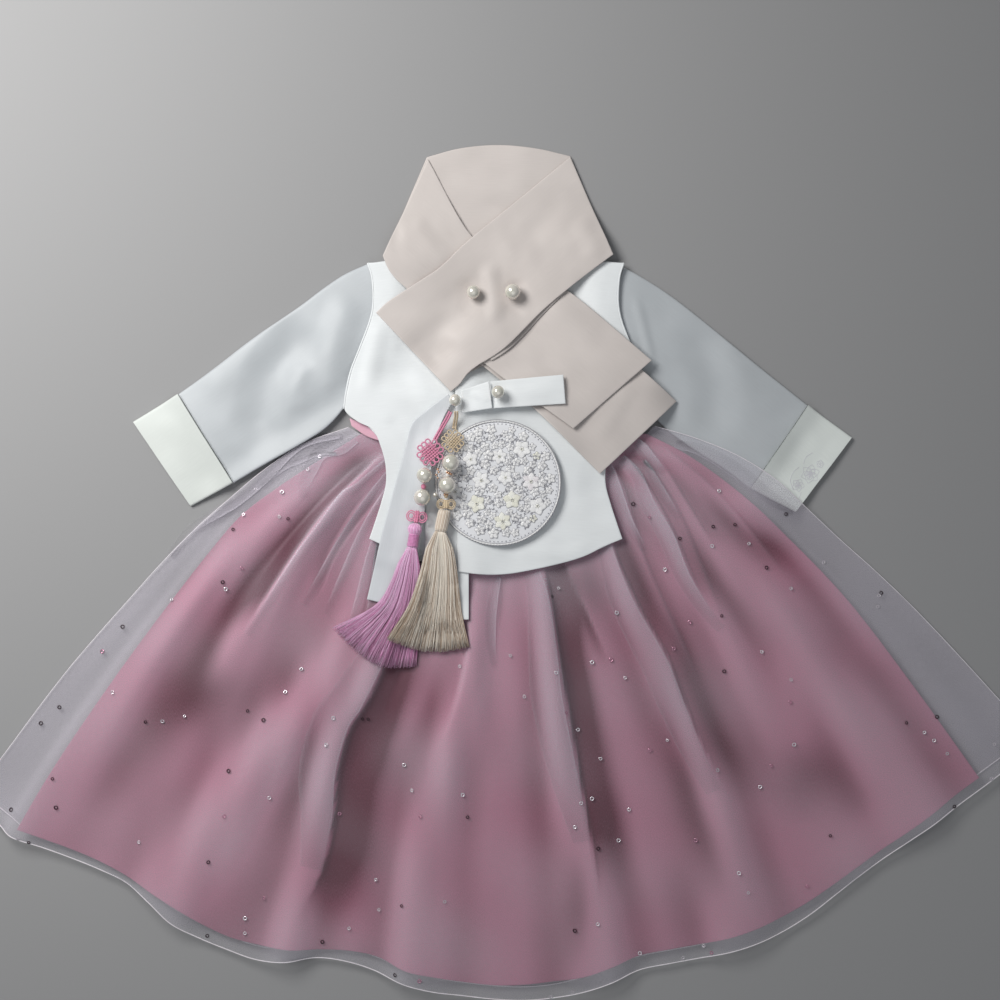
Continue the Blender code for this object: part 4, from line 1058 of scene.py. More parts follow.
def make_plies(material):
    """Plies of the organza turned over at its gathers: one crisp edge, and no other that shows."""
    tree = tree_of("organza_front_cloth")
    along = np.linspace(0, 1, PLY_STEPS)
    share = np.linspace(0, 1, PLY_STRIPS) ** 1.8
    fade = 1 - ramp(along, 0.62, 1.0)
    lift = 0.35 + 0.45 * (1 - share)[None] * fade[:, None]
    plies = Joined()
    for ply in rows_of(PLIES, PLY_COLUMNS):
        edge = smooth_curve(ply["edge"], PLY_STEPS)
        # The edge runs down the skirt. Side 1 is the viewer's right of it, and -1 the left.
        out = sideways(edge) * ply["side"]
        width = ply["width"] * (0.35 + 0.65 * np.sin(np.pi * np.clip(along * 0.8 + 0.1, 0, 1)))
        reach = width[:, None] * share[None]
        plan = edge[:, None] + out[:, None] * reach[..., None]
        line = PLY_LINE_HAZE * (1 - ramp(reach, 0.0, PLY_LINE_WIDTH))
        haze = 0.8 * fade[:, None] * (ply["haze"] * (1 - ramp(share, 0.05, 1.0))[None] + line)
        sheet = closed_sheet(plan, heights_on(tree, plan) + lift + PLY_WALL, PLY_WALL)
        plies.add(*sheet, 0, np.tile(haze.ravel(), 2))
    return plies.finish("organza_plies", [material], "organza", mark="haze", uv=True)


def towards_centre(points):
    """Unit vectors from plan points to the point that the skirt's gathers run out from."""
    way = np.array(SKIRT_CENTRE, float) - points
    return way / np.linalg.norm(way, axis=1)[:, None]


def make_skirt(materials):
    lining, organza = skirt_grids()
    back, inner = organza.copy(), lining.copy()
    inward = towards_centre(back[-1])
    back[-1] += inward * ORGANZA_BACK_HEM_RISE
    back[-2] += inward * ORGANZA_BACK_HEM_RISE * 0.6
    inner[-1] += inward[MARGIN_COLUMNS:-MARGIN_COLUMNS] * LINING_BACK_HEM_RISE
    made = {}
    for name, grid, wall, slot in (
        ("organza_back", back, ORGANZA_SHELL, "organza"), ("lining_back", inner, LINING_SHELL, "lining"),
    ):
        plan, rows, columns, lengths = refined(grid, SKIRT_BACK_COUNTS)
        top = np.full(plan.shape[:2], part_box(name)[1].z / MM)
        # The back layers get an even painted shade of 0.5 and the flat haze.
        marks = {"hollow": np.full(top.shape, 0.5), "haze": np.full(top.shape, ORGANZA_HAZE)}
        drop = edge_drop(rows, columns, lengths)
        shell = shell_object(f"{name}_cloth", plan, top, drop, wall, materials[slot], 0.0, marks)
        made[name] = finish_piece(shell, name)
    lining_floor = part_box("lining_back")[1].z / MM + LINING_SHELL + LAYER_GAP
    organza_floor = lining_floor + LAYER_STEP

    def lowest_lining(base):
        return np.full(base.shape, lining_floor)

    def lowest_organza(base):
        return np.where(base > organza_floor, organza_floor, np.minimum(base, MARGIN_FLOOR))

    for name, grid, counts, wall, slot, lowest, ripple in (
        ("lining_front", lining, LINING_COUNTS, LINING_SHELL, "lining", lowest_lining, 0.4),
        ("organza_front", organza, ORGANZA_COUNTS, ORGANZA_SHELL, "organza", lowest_organza, 1.0),
    ):
        made[name], plan, top = skirt_layer(name, grid, counts, wall, materials[slot], lowest, ripple)
    return made, plan, top


# ---- The jacket, sleeves, scarf and ties ----

# Strips laid on their solids: long edges, coarse grid, fine grid, material and
# grain in degrees. STRIP_CLOTHS gives each material's thickness and the height of its slow swells.
STRIPS = (
    ("scarf_back_stretch", SCARF_BACK_TOP, SCARF_BACK_LOW, (6, 12), (50, 70), "scarf", 0),
    ("scarf_lower_tail", SCARF_PLY_TOP, SCARF_PLY_LOW, (6, 8), (44, 70), "scarf", -40),
    ("scarf_under_stretch", SCARF_UNDER_TOP, SCARF_UNDER_LOW, (7, 19), (50, 110), "scarf", -40),
    ("scarf_over_stretch", SCARF_OVER_TOP, SCARF_OVER_LOW, (7, 18), (60, 110), "scarf", 40),
    # The long tail's satin is the tie's white satin painted darker: painted shade.
    ("tie_long_tail", LONG_TIE_LEFT, LONG_TIE_RIGHT, (4, 22), (26, 110), "satin.tie", 80),
    ("tie_loop_tab", LOOP_TAB_TOP, LOOP_TAB_LOW, (3, 7), (20, 44), "satin", 4),
    ("tie_knot_wrap", KNOT_WRAP_TOP, KNOT_WRAP_LOW, (3, 4), (20, 22), "satin", 10),
)
STRIP_CLOTHS = {"scarf": (SCARF_SHELL, 0.35), "satin.tie": (SATIN_SHELL, 0.2), "satin": (SATIN_SHELL, 0.2)}
FIRST_STRIP_SEED = 10

# How far the jacket's back lies inside its front, at the sides and at the middle of the hem.
BACK_INSET = 1.2
BACK_HEM_RISE = 2.0

# Sleeves and cuffs: fine grids, the swells' height and period, the radius of the fold at each side
# and how much of the height between the walls it takes up, and the least gap inside.
SLEEVE_COUNTS = (44, 60)
CUFF_COUNTS = (40, 24)
SLEEVE_SWELL = 0.35
SLEEVE_PERIOD = 55.0
FOLD_RADIUS = 1.7
FOLD_SHARE = 0.9
INNER_GAP = 0.02

# The scarf's second ply: which part of the long edge it follows, how far it reaches under the
# stretch on top and out beyond it, its height over what is below, and its thickness.
SECOND_PLY_STEPS = 70
SECOND_PLY_PART = slice(20, 62)
SECOND_PLY_HIDDEN = 6.0
SECOND_PLY_SHOWN = 3.4
SECOND_PLY_LIFT = 1.3
SECOND_PLY_WALL = 0.8


def mirrored(points):
    return tuple((2 * JACKET_MIDDLE - x, y) for x, y in points)


def hem_part(start, end, count):
    """The stretch of the jacket's hem between two points, at even spacing across."""
    hem = smooth_curve(JACKET_HEM, 20)
    x = np.linspace(start[0], end[0], count)
    y = np.interp(x, hem[:, 0], hem[:, 1])
    y[0], y[-1] = start[1], end[1]
    return np.column_stack([x, y])


def make_jacket(materials):
    satin = materials["satin"]
    rows, columns = 13, 10
    left = smooth_curve(JACKET_SIDE, rows) + (BACK_INSET, 0.0)
    right = smooth_curve(mirrored(JACKET_SIDE), rows) - (BACK_INSET, 0.0)
    shoulder = smooth_curve(JACKET_SHOULDER, columns)
    low = hem_part(left[-1], right[-1], columns)
    low[:, 1] += BACK_HEM_RISE * np.sin(np.linspace(0, np.pi, columns))
    grid = patch_grid(left, right, shoulder, low)
    made = {"jacket_back": cloth("jacket_back", grid, (50, 44), SATIN_SHELL, satin, 4)}
    rows, columns = 17, 7
    left = smooth_curve(JACKET_SIDE, rows)
    edge = smooth_curve(UNDER_FRONT_EDGE, rows)
    top = between(left[:1], edge[:1], columns)[0]
    grid = patch_grid(left, edge, top, hem_part(left[-1], edge[-1], columns))
    made["jacket_under_front"] = cloth("jacket_under_front", grid, (110, 44), SATIN_SHELL, satin, 8, 0.3, 2)
    grid = strip_grid(SHORT_TIE_LEFT, SHORT_TIE_RIGHT, 3, 10)
    made["tie_short_tail"] = cloth("tie_short_tail", grid, (16, 50), SATIN_SHELL, satin, 88, 0.2, 3)
    columns = 10
    edge = smooth_curve(OVER_FRONT_EDGE, rows)
    right = smooth_curve(mirrored(JACKET_SIDE), rows)
    top = between(edge[:1], right[:1], columns)[0]
    grid = patch_grid(edge, right, top, hem_part(edge[-1], right[-1], columns))
    made["jacket_over_front"] = cloth("jacket_over_front", grid, (120, 70), SATIN_SHELL, satin, -6, 0.3, 4)
    return made


def tube_cloth(name, grid, counts, wall, material, grain, seed):
    """A flattened tube of cloth on its solid, open at both ends. The grid's columns run along it."""
    layers = np.dstack([grid, solid_heights(name, grid), solid_heights(name, grid, upward=True)])
    fine, rows, columns, lengths = refined(layers, counts)
    plan, top, low = fine[..., :2], fine[..., 2], fine[..., 3]
    top = top + crease_height(plan, name) + waves(plan, SLEEVE_SWELL, SLEEVE_PERIOD, seed)
    side = np.minimum(rows, 1 - rows)[:, None] * lengths[0]
    turn = 1 - np.sqrt(1 - np.clip(1 - side / FOLD_RADIUS, 0, 1) ** 2)
    middle = (top + low) / 2
    top = top + (middle - top) * FOLD_SHARE * turn
    low = low + (middle - low) * FOLD_SHARE * turn
    # The inside is drawn in from the fold at each side, so that the walls don't cross.
    inset = wall / lengths[0]
    inner = refine(layers, inset + rows * (1 - 2 * inset), columns)[..., :2]
    inner_top = np.maximum(top - wall, middle + INNER_GAP)
    inner_low = np.minimum(low + wall, middle - INNER_GAP)
    outside = np.concatenate([np.dstack([plan, low]), np.dstack([plan, top])[::-1]])
    inside = np.concatenate([np.dstack([inner, inner_low]), np.dstack([inner, inner_top])[::-1]])
    around, sections = outside.shape[:2]
    count = around * sections
    faces = grid_faces(around, sections, 0, True, wrap=True)
    faces += grid_faces(around, sections, count, False, wrap=True)
    for row in range(around):
        for section, turned in ((0, False), (sections - 1, True)):
            first, second = row * sections + section, (row + 1) % around * sections + section
            quad = (first, second, count + second, count + first)
            faces.append(quad if turned else quad[::-1])
    points = np.concatenate([outside, inside]).reshape(-1, 3)
    obj = add_object(f"{name}_cloth", points, faces, [material], cloth_uv(points, grain))
    return finish_piece(obj, name)


def make_sleeve(side, armhole, top_edge, low_edge, cuff_end, materials, grain, seed):
    top = smooth_curve(top_edge, SLEEVE_SECTIONS)
    low = smooth_curve(low_edge, SLEEVE_SECTIONS)
    start = smooth_curve(armhole, TUBE_ROWS)
    start[0], start[-1] = top[0], low[0]
    end = between(top[-1:], low[-1:], TUBE_ROWS)[0]
    grid = patch_grid(top, low, start, end).transpose(1, 0, 2)
    # The sleeve's satin is painted shade; the left cuff's is painted shade and the right cuff's painted
    # light.
    satin, ivory = materials["satin.sleeve"], materials[f"cuff.{side}"]
    sleeve = tube_cloth(f"sleeve_{side}", grid, SLEEVE_COUNTS, SATIN_SHELL, satin, grain, seed)
    opening = np.array(cuff_end, float)
    shares = np.linspace(SEAM_GAP / np.linalg.norm(opening[0] - top[-1]), 1, 4)[:, None]
    cuff_top = top[-1] * (1 - shares) + opening[0] * shares
    cuff_low = low[-1] * (1 - shares) + opening[1] * shares
    grid = between(cuff_top, cuff_low, TUBE_ROWS).transpose(1, 0, 2)
    cuff = tube_cloth(f"cuff_{side}", grid, CUFF_COUNTS, SATIN_SHELL, ivory, grain, seed + 1)
    return {f"sleeve_{side}": sleeve, f"cuff_{side}": cuff}


def make_strips(materials):
    made = {}
    for seed, (name, top, low, size, counts, material, grain) in enumerate(STRIPS, FIRST_STRIP_SEED):
        wall, swell = STRIP_CLOTHS[material]
        grid = strip_grid(top, low, *size)
        made[name] = cloth(name, grid, counts, wall, materials[material], grain, swell, seed)
    return made


def make_scarf_ply(material):
    """The scarf's second ply, which shows as a narrow edge below the stretch that lies on top."""
    under = ("scarf_under_stretch", "jacket_over_front", "jacket_under_front")
    edge = smooth_curve(SCARF_OVER_LOW, SECOND_PLY_STEPS)[SECOND_PLY_PART]
    bulge = np.sin(np.pi * np.linspace(0, 1, len(edge))) ** 0.6
    width = SECOND_PLY_HIDDEN + SECOND_PLY_SHOWN * bulge[:, None]
    reach = width * np.linspace(0, 1, 9)[None] - SECOND_PLY_HIDDEN
    plan = edge[:, None] + sideways(edge)[:, None] * reach[..., None]
    level = np.max([heights_on(tree_of(f"{name}_cloth"), plan) for name in under], axis=0) + SECOND_PLY_LIFT
    above = heights_on(tree_of("scarf_over_stretch_cloth"), plan)
    top = np.where(above > 0, np.minimum(level, above - SCARF_SHELL - 0.2), level)
    ply = Joined()
    ply.add(*closed_sheet(plan, blurred(top, 1), SECOND_PLY_WALL))
    return ply.finish("scarf_over_second_ply", [material], "scarf", uv=True)


# ---- Small shapes joined into pieces ----


def full_turn(count):
    """Evenly spaced angles of one whole turn."""
    return np.arange(count) * 2 * math.pi / count


def circle(radius, angles, height):
    """Points round the origin. Radius and height are one number each, or one for each angle."""
    heights = np.broadcast_to(height, angles.shape)
    return np.column_stack([radius * np.cos(angles), radius * np.sin(angles), heights])


def band_faces(rings, sides, closed):
    """Quads round rings of points, joined from the last ring to the first if closed."""
    faces = []
    for ring in range(rings if closed else rings - 1):
        first, after = ring * sides, (ring + 1) % rings * sides
        for side in range(sides):
            turn = (side + 1) % sides
            faces.append((first + side, first + turn, after + turn, after + side))
    return faces


class Joined:
    """Many small shapes gathered into one mesh, each with its material and shade."""

    def __init__(self):
        self.points = []
        self.faces = []
        self.kinds = []
        self.shades = []
        self.count = 0

    def add(self, points, faces, kind=0, shade=0.5):
        points = np.asarray(points, float)
        self.points.append(points)
        self.faces += [tuple(self.count + index for index in face) for face in faces]
        self.kinds += [kind] * len(faces)
        self.shades.append(np.broadcast_to(np.asarray(shade, float), len(points)))
        self.count += len(points)

    def tube(self, route, radius, sides, closed=False, kind=0, shade=0.5):
        """A tube along a route in millimetres. `radius` is one number or one for each point."""
        route = np.asarray(route, float)
        count = len(route)
        if closed:
            way = np.roll(route, -1, axis=0) - np.roll(route, 1, axis=0)
        else:
            way = np.gradient(route, axis=0)
        way /= np.maximum(np.linalg.norm(way, axis=1), 1e-9)[:, None]
        side = np.cross(way, (0.0, 0.0, 1.0))
        side /= np.maximum(np.linalg.norm(side, axis=1), 1e-9)[:, None]
        up = np.cross(side, way)
        radius = np.broadcast_to(np.asarray(radius, float), (count,))
        angles = (full_turn(sides) + math.pi / 2)[None, :, None]
        ring = side[:, None] * np.cos(angles) + up[:, None] * np.sin(angles)
        points = (route[:, None] + ring * radius[:, None, None]).reshape(-1, 3)
        faces = band_faces(count, sides, closed)
        if not closed:
            faces.append(tuple(range(sides))[::-1])
            faces.append(tuple((count - 1) * sides + corner for corner in range(sides)))
        self.add(points, faces, kind, shade)

    def ball(self, centre, radius, segments, rings, kind=0, squash=1.0, shade=0.5):
        """A ball, flattened by `squash`, from rings of points and one point at each pole."""
        polar = (math.pi * np.arange(1, rings) / rings)[:, None]
        angle = full_turn(segments)[None]
        reach = np.sin(polar)
        skin = np.dstack([reach * np.cos(angle), reach * np.sin(angle), squash * np.cos(polar) + 0 * angle])
        skin = skin.reshape(-1, 3)
        points = np.vstack([skin, (0, 0, squash), (0, 0, -squash)]) * radius + np.asarray(centre, float)
        faces = []
        top, low = len(skin), len(skin) + 1
        for segment in range(segments):
            after = (segment + 1) % segments
            faces.append((segment, after, top))
            faces.append(((rings - 2) * segments + after, (rings - 2) * segments + segment, low))
            for ring in range(rings - 2):
                first, second = ring * segments, (ring + 1) * segments
                faces.append((first + segment, second + segment, second + after, first + after))
        self.add(points, faces, kind, shade)

    def leaf(self, root, angle, length, width, lift, dome, kind, shade, rows, columns):
        """A petal or leaf: pointed at its root, rounded at its tip and domed across, closed below."""
        along = np.linspace(0, 1, rows + 1)[:, None]
        across = np.linspace(-1, 1, columns + 1)[None, :]
        half = width / 2 * np.sin(math.pi * np.clip(along, 0.02, 0.98) ** 0.75) ** 0.7
        plan = rotated(np.dstack([along * length + 0 * across, half * across]), angle)
        z = lift * along + dome * (1 - across**2) * np.sin(math.pi * np.clip(along, 0.03, 0.97))
        upper = np.dstack([plan, z]).reshape(-1, 3) + root
        lower = upper.copy()
        lower[:, 2] = np.minimum(root[2] + lift * np.repeat(along[:, 0], columns + 1), upper[:, 2]) - 0.12
        self.add(np.vstack([upper, lower]), closed_faces(rows + 1, columns + 1, True), kind, shade)

    def finish(self, name, materials, slot=None, nodes=(), mark="strand", uv=False):
        points = np.vstack(self.points)
        obj = add_object(
            name, points, self.faces, materials, points[:, :2] * MM if uv else None,
            attributes={mark: np.concatenate(self.shades)}, kinds=self.kinds,
        )
        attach(obj, "root")
        if nodes:
            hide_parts(*nodes)
        return obj


class Ground:
    """Height of the cloth that is already laid, on a raster over one region, in millimetres."""

    STEP = 2.5

    def __init__(self, low, high, names):
        self.low = np.array(low, float)
        self.shape = tuple(int((top - bottom) / self.STEP) + 1 for bottom, top in zip(low, high))
        plan = self.low + np.moveaxis(np.indices(self.shape), 0, -1) * self.STEP
        self.top = np.max([heights_on(tree_of(name), plan) for name in names], axis=0)
        self.soften()

    def soften(self):
        """Spreads the heights over their neighbours, so that nothing laid on them dips into an edge."""
        wide = self.top.copy()
        for across in (-2, -1, 0, 1, 2):
            for along in (-2, -1, 0, 1, 2):
                wide = np.maximum(wide, np.roll(self.top, (across, along), (0, 1)))
        self.soft = blurred(wide, 1)

    def lay(self, points):
        """Raises the ground to points laid on it."""
        cells = np.round((points[:, :2] - self.low) / self.STEP).astype(int)
        cells = np.clip(cells, 0, np.array(self.shape) - 1)
        np.maximum.at(self.top, (cells[:, 0], cells[:, 1]), points[:, 2])
        self.soften()

    def at(self, plan):
        """Heights at plan points, blended from the four cells round each."""
        place = np.clip((np.asarray(plan, float) - self.low) / self.STEP, 0, np.array(self.shape) - 1.001)
        first = place.astype(int)
        u, v = (place - first)[..., 0], (place - first)[..., 1]
        x, y = first[..., 0], first[..., 1]
        lower = self.soft[x, y] * (1 - u) + self.soft[x + 1, y] * u
        upper = self.soft[x, y + 1] * (1 - u) + self.soft[x + 1, y + 1] * u
        return lower * (1 - v) + upper * v


# ---- Trims of the skirt and jacket ----

HEM_ROLL_RADIUS = 0.46
SIDE_ROLL_RADIUS = 0.32
HEM_ROLL_SINK = 0.3
HEM_ROLL_SEED = 5
BACK_ROLL_STEPS = 260
BACK_ROLL_RADIUS = 0.5
BACK_ROLL_LIFT = 0.2
BACK_ROLL_SEED = 6

# The armhole's welt: its radius, how far in from the seam the cloth's height is read, and its sink.
WELT_RADIUS = 0.95
WELT_READ = 2.0
WELT_SINK = 0.75

# Sequins: their number, size and spread of sizes, how far they lie off the cloth and are tipped, how
# wide a cell of the cloth has to be to keep each one drawn, and how much of the jacket may cover it.
SEQUIN_COUNT = 130
SEQUIN_RADIUS = 1.9
SEQUIN_SIZES = (0.75, 1.05)
SEQUIN_LIFT = 0.45
SEQUIN_TILT = 0.13
SEQUIN_CELL = 5.0
SEQUIN_COVER = 0.3
SEQUIN_SEED = 11
SEQUIN_SIDES = 12
# The sequins as drawn: 0 is pale, 1 dark and 2 rose. The dark ones are a painted reflection of dark
# surroundings.
SEQUIN_KINDS = (0, 0, 0, 1, 1, 2)
# Each is a cup with a hole: reach and height of its inner rim, bowl and outer rim, above and below.
SEQUIN_PROFILE = ((0.5, -0.08), (0.66, -0.02), (1.0, 0.09), (1.0, -0.02), (0.66, -0.13), (0.5, -0.19))


def make_hem_roll(name, plan, top, material):
    """The organza's narrow rolled edge, down one side, along the hem and up the other."""
    points = np.dstack([plan, top])
    route = np.vstack([points[:, 0], points[-1, 1:-1], points[::-1, -1]])
    step = np.linalg.norm(np.diff(route[:, :2], axis=0), axis=1)
    route = route[np.concatenate([[True], step > 0.5])]
    route[:, 2] -= HEM_ROLL_SINK
    roll = Joined()
    chance = np.random.default_rng(HEM_ROLL_SEED)
    side = len(plan)
    radius = np.full(len(route), HEM_ROLL_RADIUS)
    radius[:side] = radius[-side:] = SIDE_ROLL_RADIUS
    roll.tube(route, radius * (1 + 0.25 * chance.random(len(route))), 6)
    return roll.finish(name, [material], "organza")


def make_back_roll(material):
    """The rolled hem of the skirt's back, which shows through the front a little above its own hem."""
    hem = skirt_grids()[1][-1]
    route = smooth_curve(hem + towards_centre(hem) * ORGANZA_BACK_HEM_RISE, BACK_ROLL_STEPS)
    heights = np.full(len(route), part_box("organza_back")[1].z / MM + BACK_ROLL_LIFT)
    chance = np.random.default_rng(BACK_ROLL_SEED)
    roll = Joined()
    roll.tube(np.column_stack([route, heights]), BACK_ROLL_RADIUS + 0.1 * chance.random(len(route)), 5)
    return roll.finish("organza_back_hem_roll", [material], "organza")


def make_armhole_seams(materials):
    """The narrow welt where each sleeve is set into the jacket."""
    armhole = JACKET_SIDE[:8]
    seams = Joined()
    for outline, name, inward in (
        (armhole, "jacket_under_front_cloth", WELT_READ),
        (mirrored(armhole), "jacket_over_front_cloth", -WELT_READ),
    ):
        route = smooth_curve(outline, 60)
        heights = heights_on(tree_of(name), route + (inward, 0.0))
        heights = np.where(heights > 0, heights, np.max(heights))
        plan = route - (0.25 * inward, 0.0)
        level = blurred(heights[:, None], 3)[:, 0] - WELT_SINK
        seams.tube(np.column_stack([plan, level]), WELT_RADIUS, 8)
    return seams.finish("jacket_armhole_seams", [materials["satin"]], "satin", uv=True)


def make_sequins(plan, top, materials):
    """Small cupped sequins, scattered over the organza, each tipped a little its own way."""
    chance = np.random.default_rng(SEQUIN_SEED)
    rows, columns = top.shape
    points = np.dstack([plan, top])
    cover = jacket_cover(plan)
    angles = full_turn(SEQUIN_SIDES)
    faces = band_faces(len(SEQUIN_PROFILE), SEQUIN_SIDES, True)
    sequins = Joined()
    placed = 0
    while placed < SEQUIN_COUNT:
        row, column = int(chance.uniform(3, rows - 4)), int(chance.uniform(3, columns - 4))
        width = np.linalg.norm(plan[row, column + 1] - plan[row, column])
        if cover[row, column] > SEQUIN_COVER or chance.random() > width / SEQUIN_CELL:
            continue
        across = points[row, column + 1] - points[row, column - 1]
        down = points[row - 1, column] - points[row + 1, column]
        normal = np.cross(across, down)
        normal /= np.linalg.norm(normal)
        normal += chance.normal(0, SEQUIN_TILT, 3) * (1, 1, 0)
        normal /= np.linalg.norm(normal)
        first = np.cross(normal, (0.0, 1.0, 0.0))
        first /= np.linalg.norm(first)
        second = np.cross(normal, first)
        spokes = np.cos(angles)[:, None] * first + np.sin(angles)[:, None] * second
        size = SEQUIN_RADIUS * chance.uniform(*SEQUIN_SIZES)
        centre = points[row, column] + normal * SEQUIN_LIFT
        rings = [centre + size * (reach * spokes + height * normal) for reach, height in SEQUIN_PROFILE]
        sequins.add(np.vstack(rings), faces, SEQUIN_KINDS[int(chance.integers(len(SEQUIN_KINDS)))])
        placed += 1
    # The pale and rose sequins are their own finishes; the dark ones are painted reflection.
    sequin_finishes = [materials[f"sequin_{shade}"] for shade in ("pale", "dark", "rose")]
    return sequins.finish("organza_sequins", sequin_finishes, "organza")


# ---- The round patch ----

# The padded ground's radius, thickness and grid, then the turns of the rim's twisted strands.
PATCH_RADIUS = 56
PATCH_PADDING = 0.6
PATCH_RINGS = 16
PATCH_SPOKES = 110
RIM_TURNS = 64
RIM_STEPS = 520
RIM_STITCHES = 92
# Blossoms and stems: how many, and how far from the middle. The large blossoms and the stems follow
# a sunflower's spiral, and the small blossoms are drawn, in so many tries at most.
GOLDEN_ANGLE = 2.39996
LARGE_BLOSSOMS = 11
LARGE_REACH = 42.0
SMALL_BLOSSOMS = 76
SMALL_REACH = 48.5
SMALL_TRIES = 14000
STEMS = 230
STEM_REACH = 48.0
STEM_STEP = 1.7
PATCH_SEED = 23
# A petal's rows and columns, fullness and dome, and the radius and points of the cord round it.
LARGE_PETAL = (6, 4, 0.84, 0.2, 0.15, 14)
SMALL_PETAL = (4, 2, 0.82, 0.12, 0.14, 12)
# Which of the large blossoms are pale yellow, and which one is blush.
YELLOW_BLOSSOMS = (2, 4, 7)
BLUSH_BLOSSOM = 5
# The floss of white petals, of outlines, of seeded eyes, of yellow petals and of blush petals.
FLOSSES = ("white_floss", "silver_floss", "yellow_floss", "yellow_floss", "blush_floss")


def petal_outline(centre, angle, length, width, count):
    """The outline of a petal in plan, pointed at its root and rounded at its tip."""
    share = full_turn(count)
    along = 0.5 - 0.5 * np.cos(share)
    half = width / 2 * np.sin(math.pi * np.clip(along, 0.02, 0.98) ** 0.75) ** 0.9
    petal = np.column_stack([along * length, half * np.where(share < math.pi, 1, -1)])
    return rotated(petal, angle) + centre[:2]


def add_blossom(joined, centre, radius, petals, turn, kind, large):
    """A blossom of low raised petals with corded outlines and a seeded eye."""
    rows, columns, fullness, dome, cord, points = LARGE_PETAL if large else SMALL_PETAL
    width = radius * 2 * math.sin(math.pi / petals) * fullness
    for petal, angle in enumerate(turn + full_turn(petals)):
        shade = 0.6 + 0.25 * (petal % 2)
        joined.leaf(np.array(centre), angle, radius, width, 0.1, dome, kind, shade, rows, columns)
        plan = petal_outline(centre, angle, radius * 1.04, width * 1.04, points)
        heights = np.full(points, centre[2] + 0.12)
        joined.tube(np.column_stack([plan, heights]), cord, 3, closed=True, kind=1, shade=0.45)
    for seed in circle(0.14 * radius, turn + full_turn(5)[: 5 if large else 1], 0.35):
        joined.ball(centre + seed, 0.06 * radius + 0.12, 5, 4, 2 if large else kind, shade=0.6)


def make_patch_ground(base, level, material):
    """The padded disc that carries the embroidery, from its middle out and down to its foot."""
    angles = full_turn(PATCH_SPOKES)
    rings = []
    for share in np.arange(PATCH_RINGS + 1) / PATCH_RINGS:
        height = level + 0.25 * math.cos(share * math.pi / 2) - 0.5 * max(0.0, (share - 0.985) / 0.015)
        rings.append(circle(PATCH_RADIUS * share, angles, height))
    rings.append(circle(PATCH_RADIUS, angles, base))
    faces = [(quad[0], *quad[:0:-1]) for quad in band_faces(len(rings), PATCH_SPOKES, False)]
    points = np.vstack(rings)
    obj = add_object("patch_ground", points, faces, [material], points[:, :2] * MM)
    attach(obj, "root")
    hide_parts("embroidered_patch")


def make_patch_rim(level, materials):
    """Two strands twisted round the patch, a thin grey ring on each side of them, and a ring of stitches
    inside. The outer ring is a painted shadow of the gap where the patch is sewn on.
    """
    rim = Joined()
    share = full_turn(RIM_STEPS)
    for strand in range(2):
        phase = share * RIM_TURNS + strand * math.pi
        route = circle(PATCH_RADIUS - 1.0 + 0.40 * np.cos(phase), share, level + 0.35 + 0.40 * np.sin(phase))
        rim.tube(route, 0.44, 5, closed=True, kind=0, shade=0.75)
    # Thin grey rings on each side of the strands; the outer one is a painted shadow of the seam's gap.
    for reach, width in ((PATCH_RADIUS + 0.1, 0.25), (PATCH_RADIUS - 2.0, 0.2)):
        rim.tube(circle(reach, share[::4], level), width, 5, closed=True, kind=1, shade=0.5)
    for place in circle(PATCH_RADIUS - 3.6, full_turn(RIM_STITCHES), level + 0.1):
        rim.ball(place, 0.62, 6, 4, 1, 0.6, 0.35)
    rim.finish("patch_rim", [materials["white_floss"], materials["silver_floss"]], "patch")


def scatter_blossoms(level, chance):
    """Large blossoms on a spiral, then small ones drawn into the gaps between them."""
    blossoms = Joined()
    taken = []
    for index in range(LARGE_BLOSSOMS):
        reach = LARGE_REACH * math.sqrt((index + 0.4) / LARGE_BLOSSOMS)
        angle = index * GOLDEN_ANGLE + 0.6
        radius = 8.2 if index % 3 else 7.0
        centre = (reach * math.cos(angle), reach * math.sin(angle), level + 0.3)
        kind = 3 if index in YELLOW_BLOSSOMS else (4 if index == BLUSH_BLOSSOM else 0)
        add_blossom(blossoms, centre, radius, 5 + index % 2, chance.uniform(0, 3), kind, True)
        taken.append((centre[0], centre[1], radius * 0.85))
    tries = 0
    while len(taken) < LARGE_BLOSSOMS + SMALL_BLOSSOMS and tries < SMALL_TRIES:
        tries += 1
        reach = SMALL_REACH * math.sqrt(chance.random())
        angle = chance.uniform(0, 2 * math.pi)
        x, y = reach * math.cos(angle), reach * math.sin(angle)
        radius = chance.uniform(3.4, 5.2)
        if any(math.hypot(x - other[0], y - other[1]) < (radius + other[2]) * 0.8 for other in taken):
            continue
        kind = 3 if chance.random() < 0.08 else 0
        add_blossom(blossoms, (x, y, level + 0.28), radius, 5, chance.uniform(0, 3), kind, False)
        taken.append((x, y, radius))
    return blossoms


def scatter_stems(height, chance):
    """Short curved stems on a spiral, with a pair of leaves at every other step."""
    stems = Joined()
    for index in range(STEMS):
        angle = index * GOLDEN_ANGLE * 1.7
        reach = STEM_REACH * math.sqrt((index + 0.5) / STEMS)
        heading = chance.uniform(0, 2 * math.pi)
        bend = chance.uniform(-0.22, 0.22)
        route = [np.array((reach * math.cos(angle), reach * math.sin(angle)))]
        for _ in range(4):
            heading += bend
            after = route[-1] + STEM_STEP * np.array((math.cos(heading), math.sin(heading)))
            if np.linalg.norm(after) > STEM_REACH:
                break
            route.append(after)
        if len(route) < 4:
            continue
        plan = np.array(route)
        stems.tube(np.column_stack([plan, np.full(len(plan), height)]), 0.17, 4, shade=0.6 * chance.random())
        for step in range(1, len(plan) - 1, 2):
            for side in (-1, 1):
                root = np.array((*plan[step], height - 0.05))
                length = chance.uniform(1.6, 2.6)
                stems.leaf(root, heading + side * 0.8, length, 0.75, 0.1, 0.1, 0, 0.7 * chance.random(), 3, 2)
    return stems


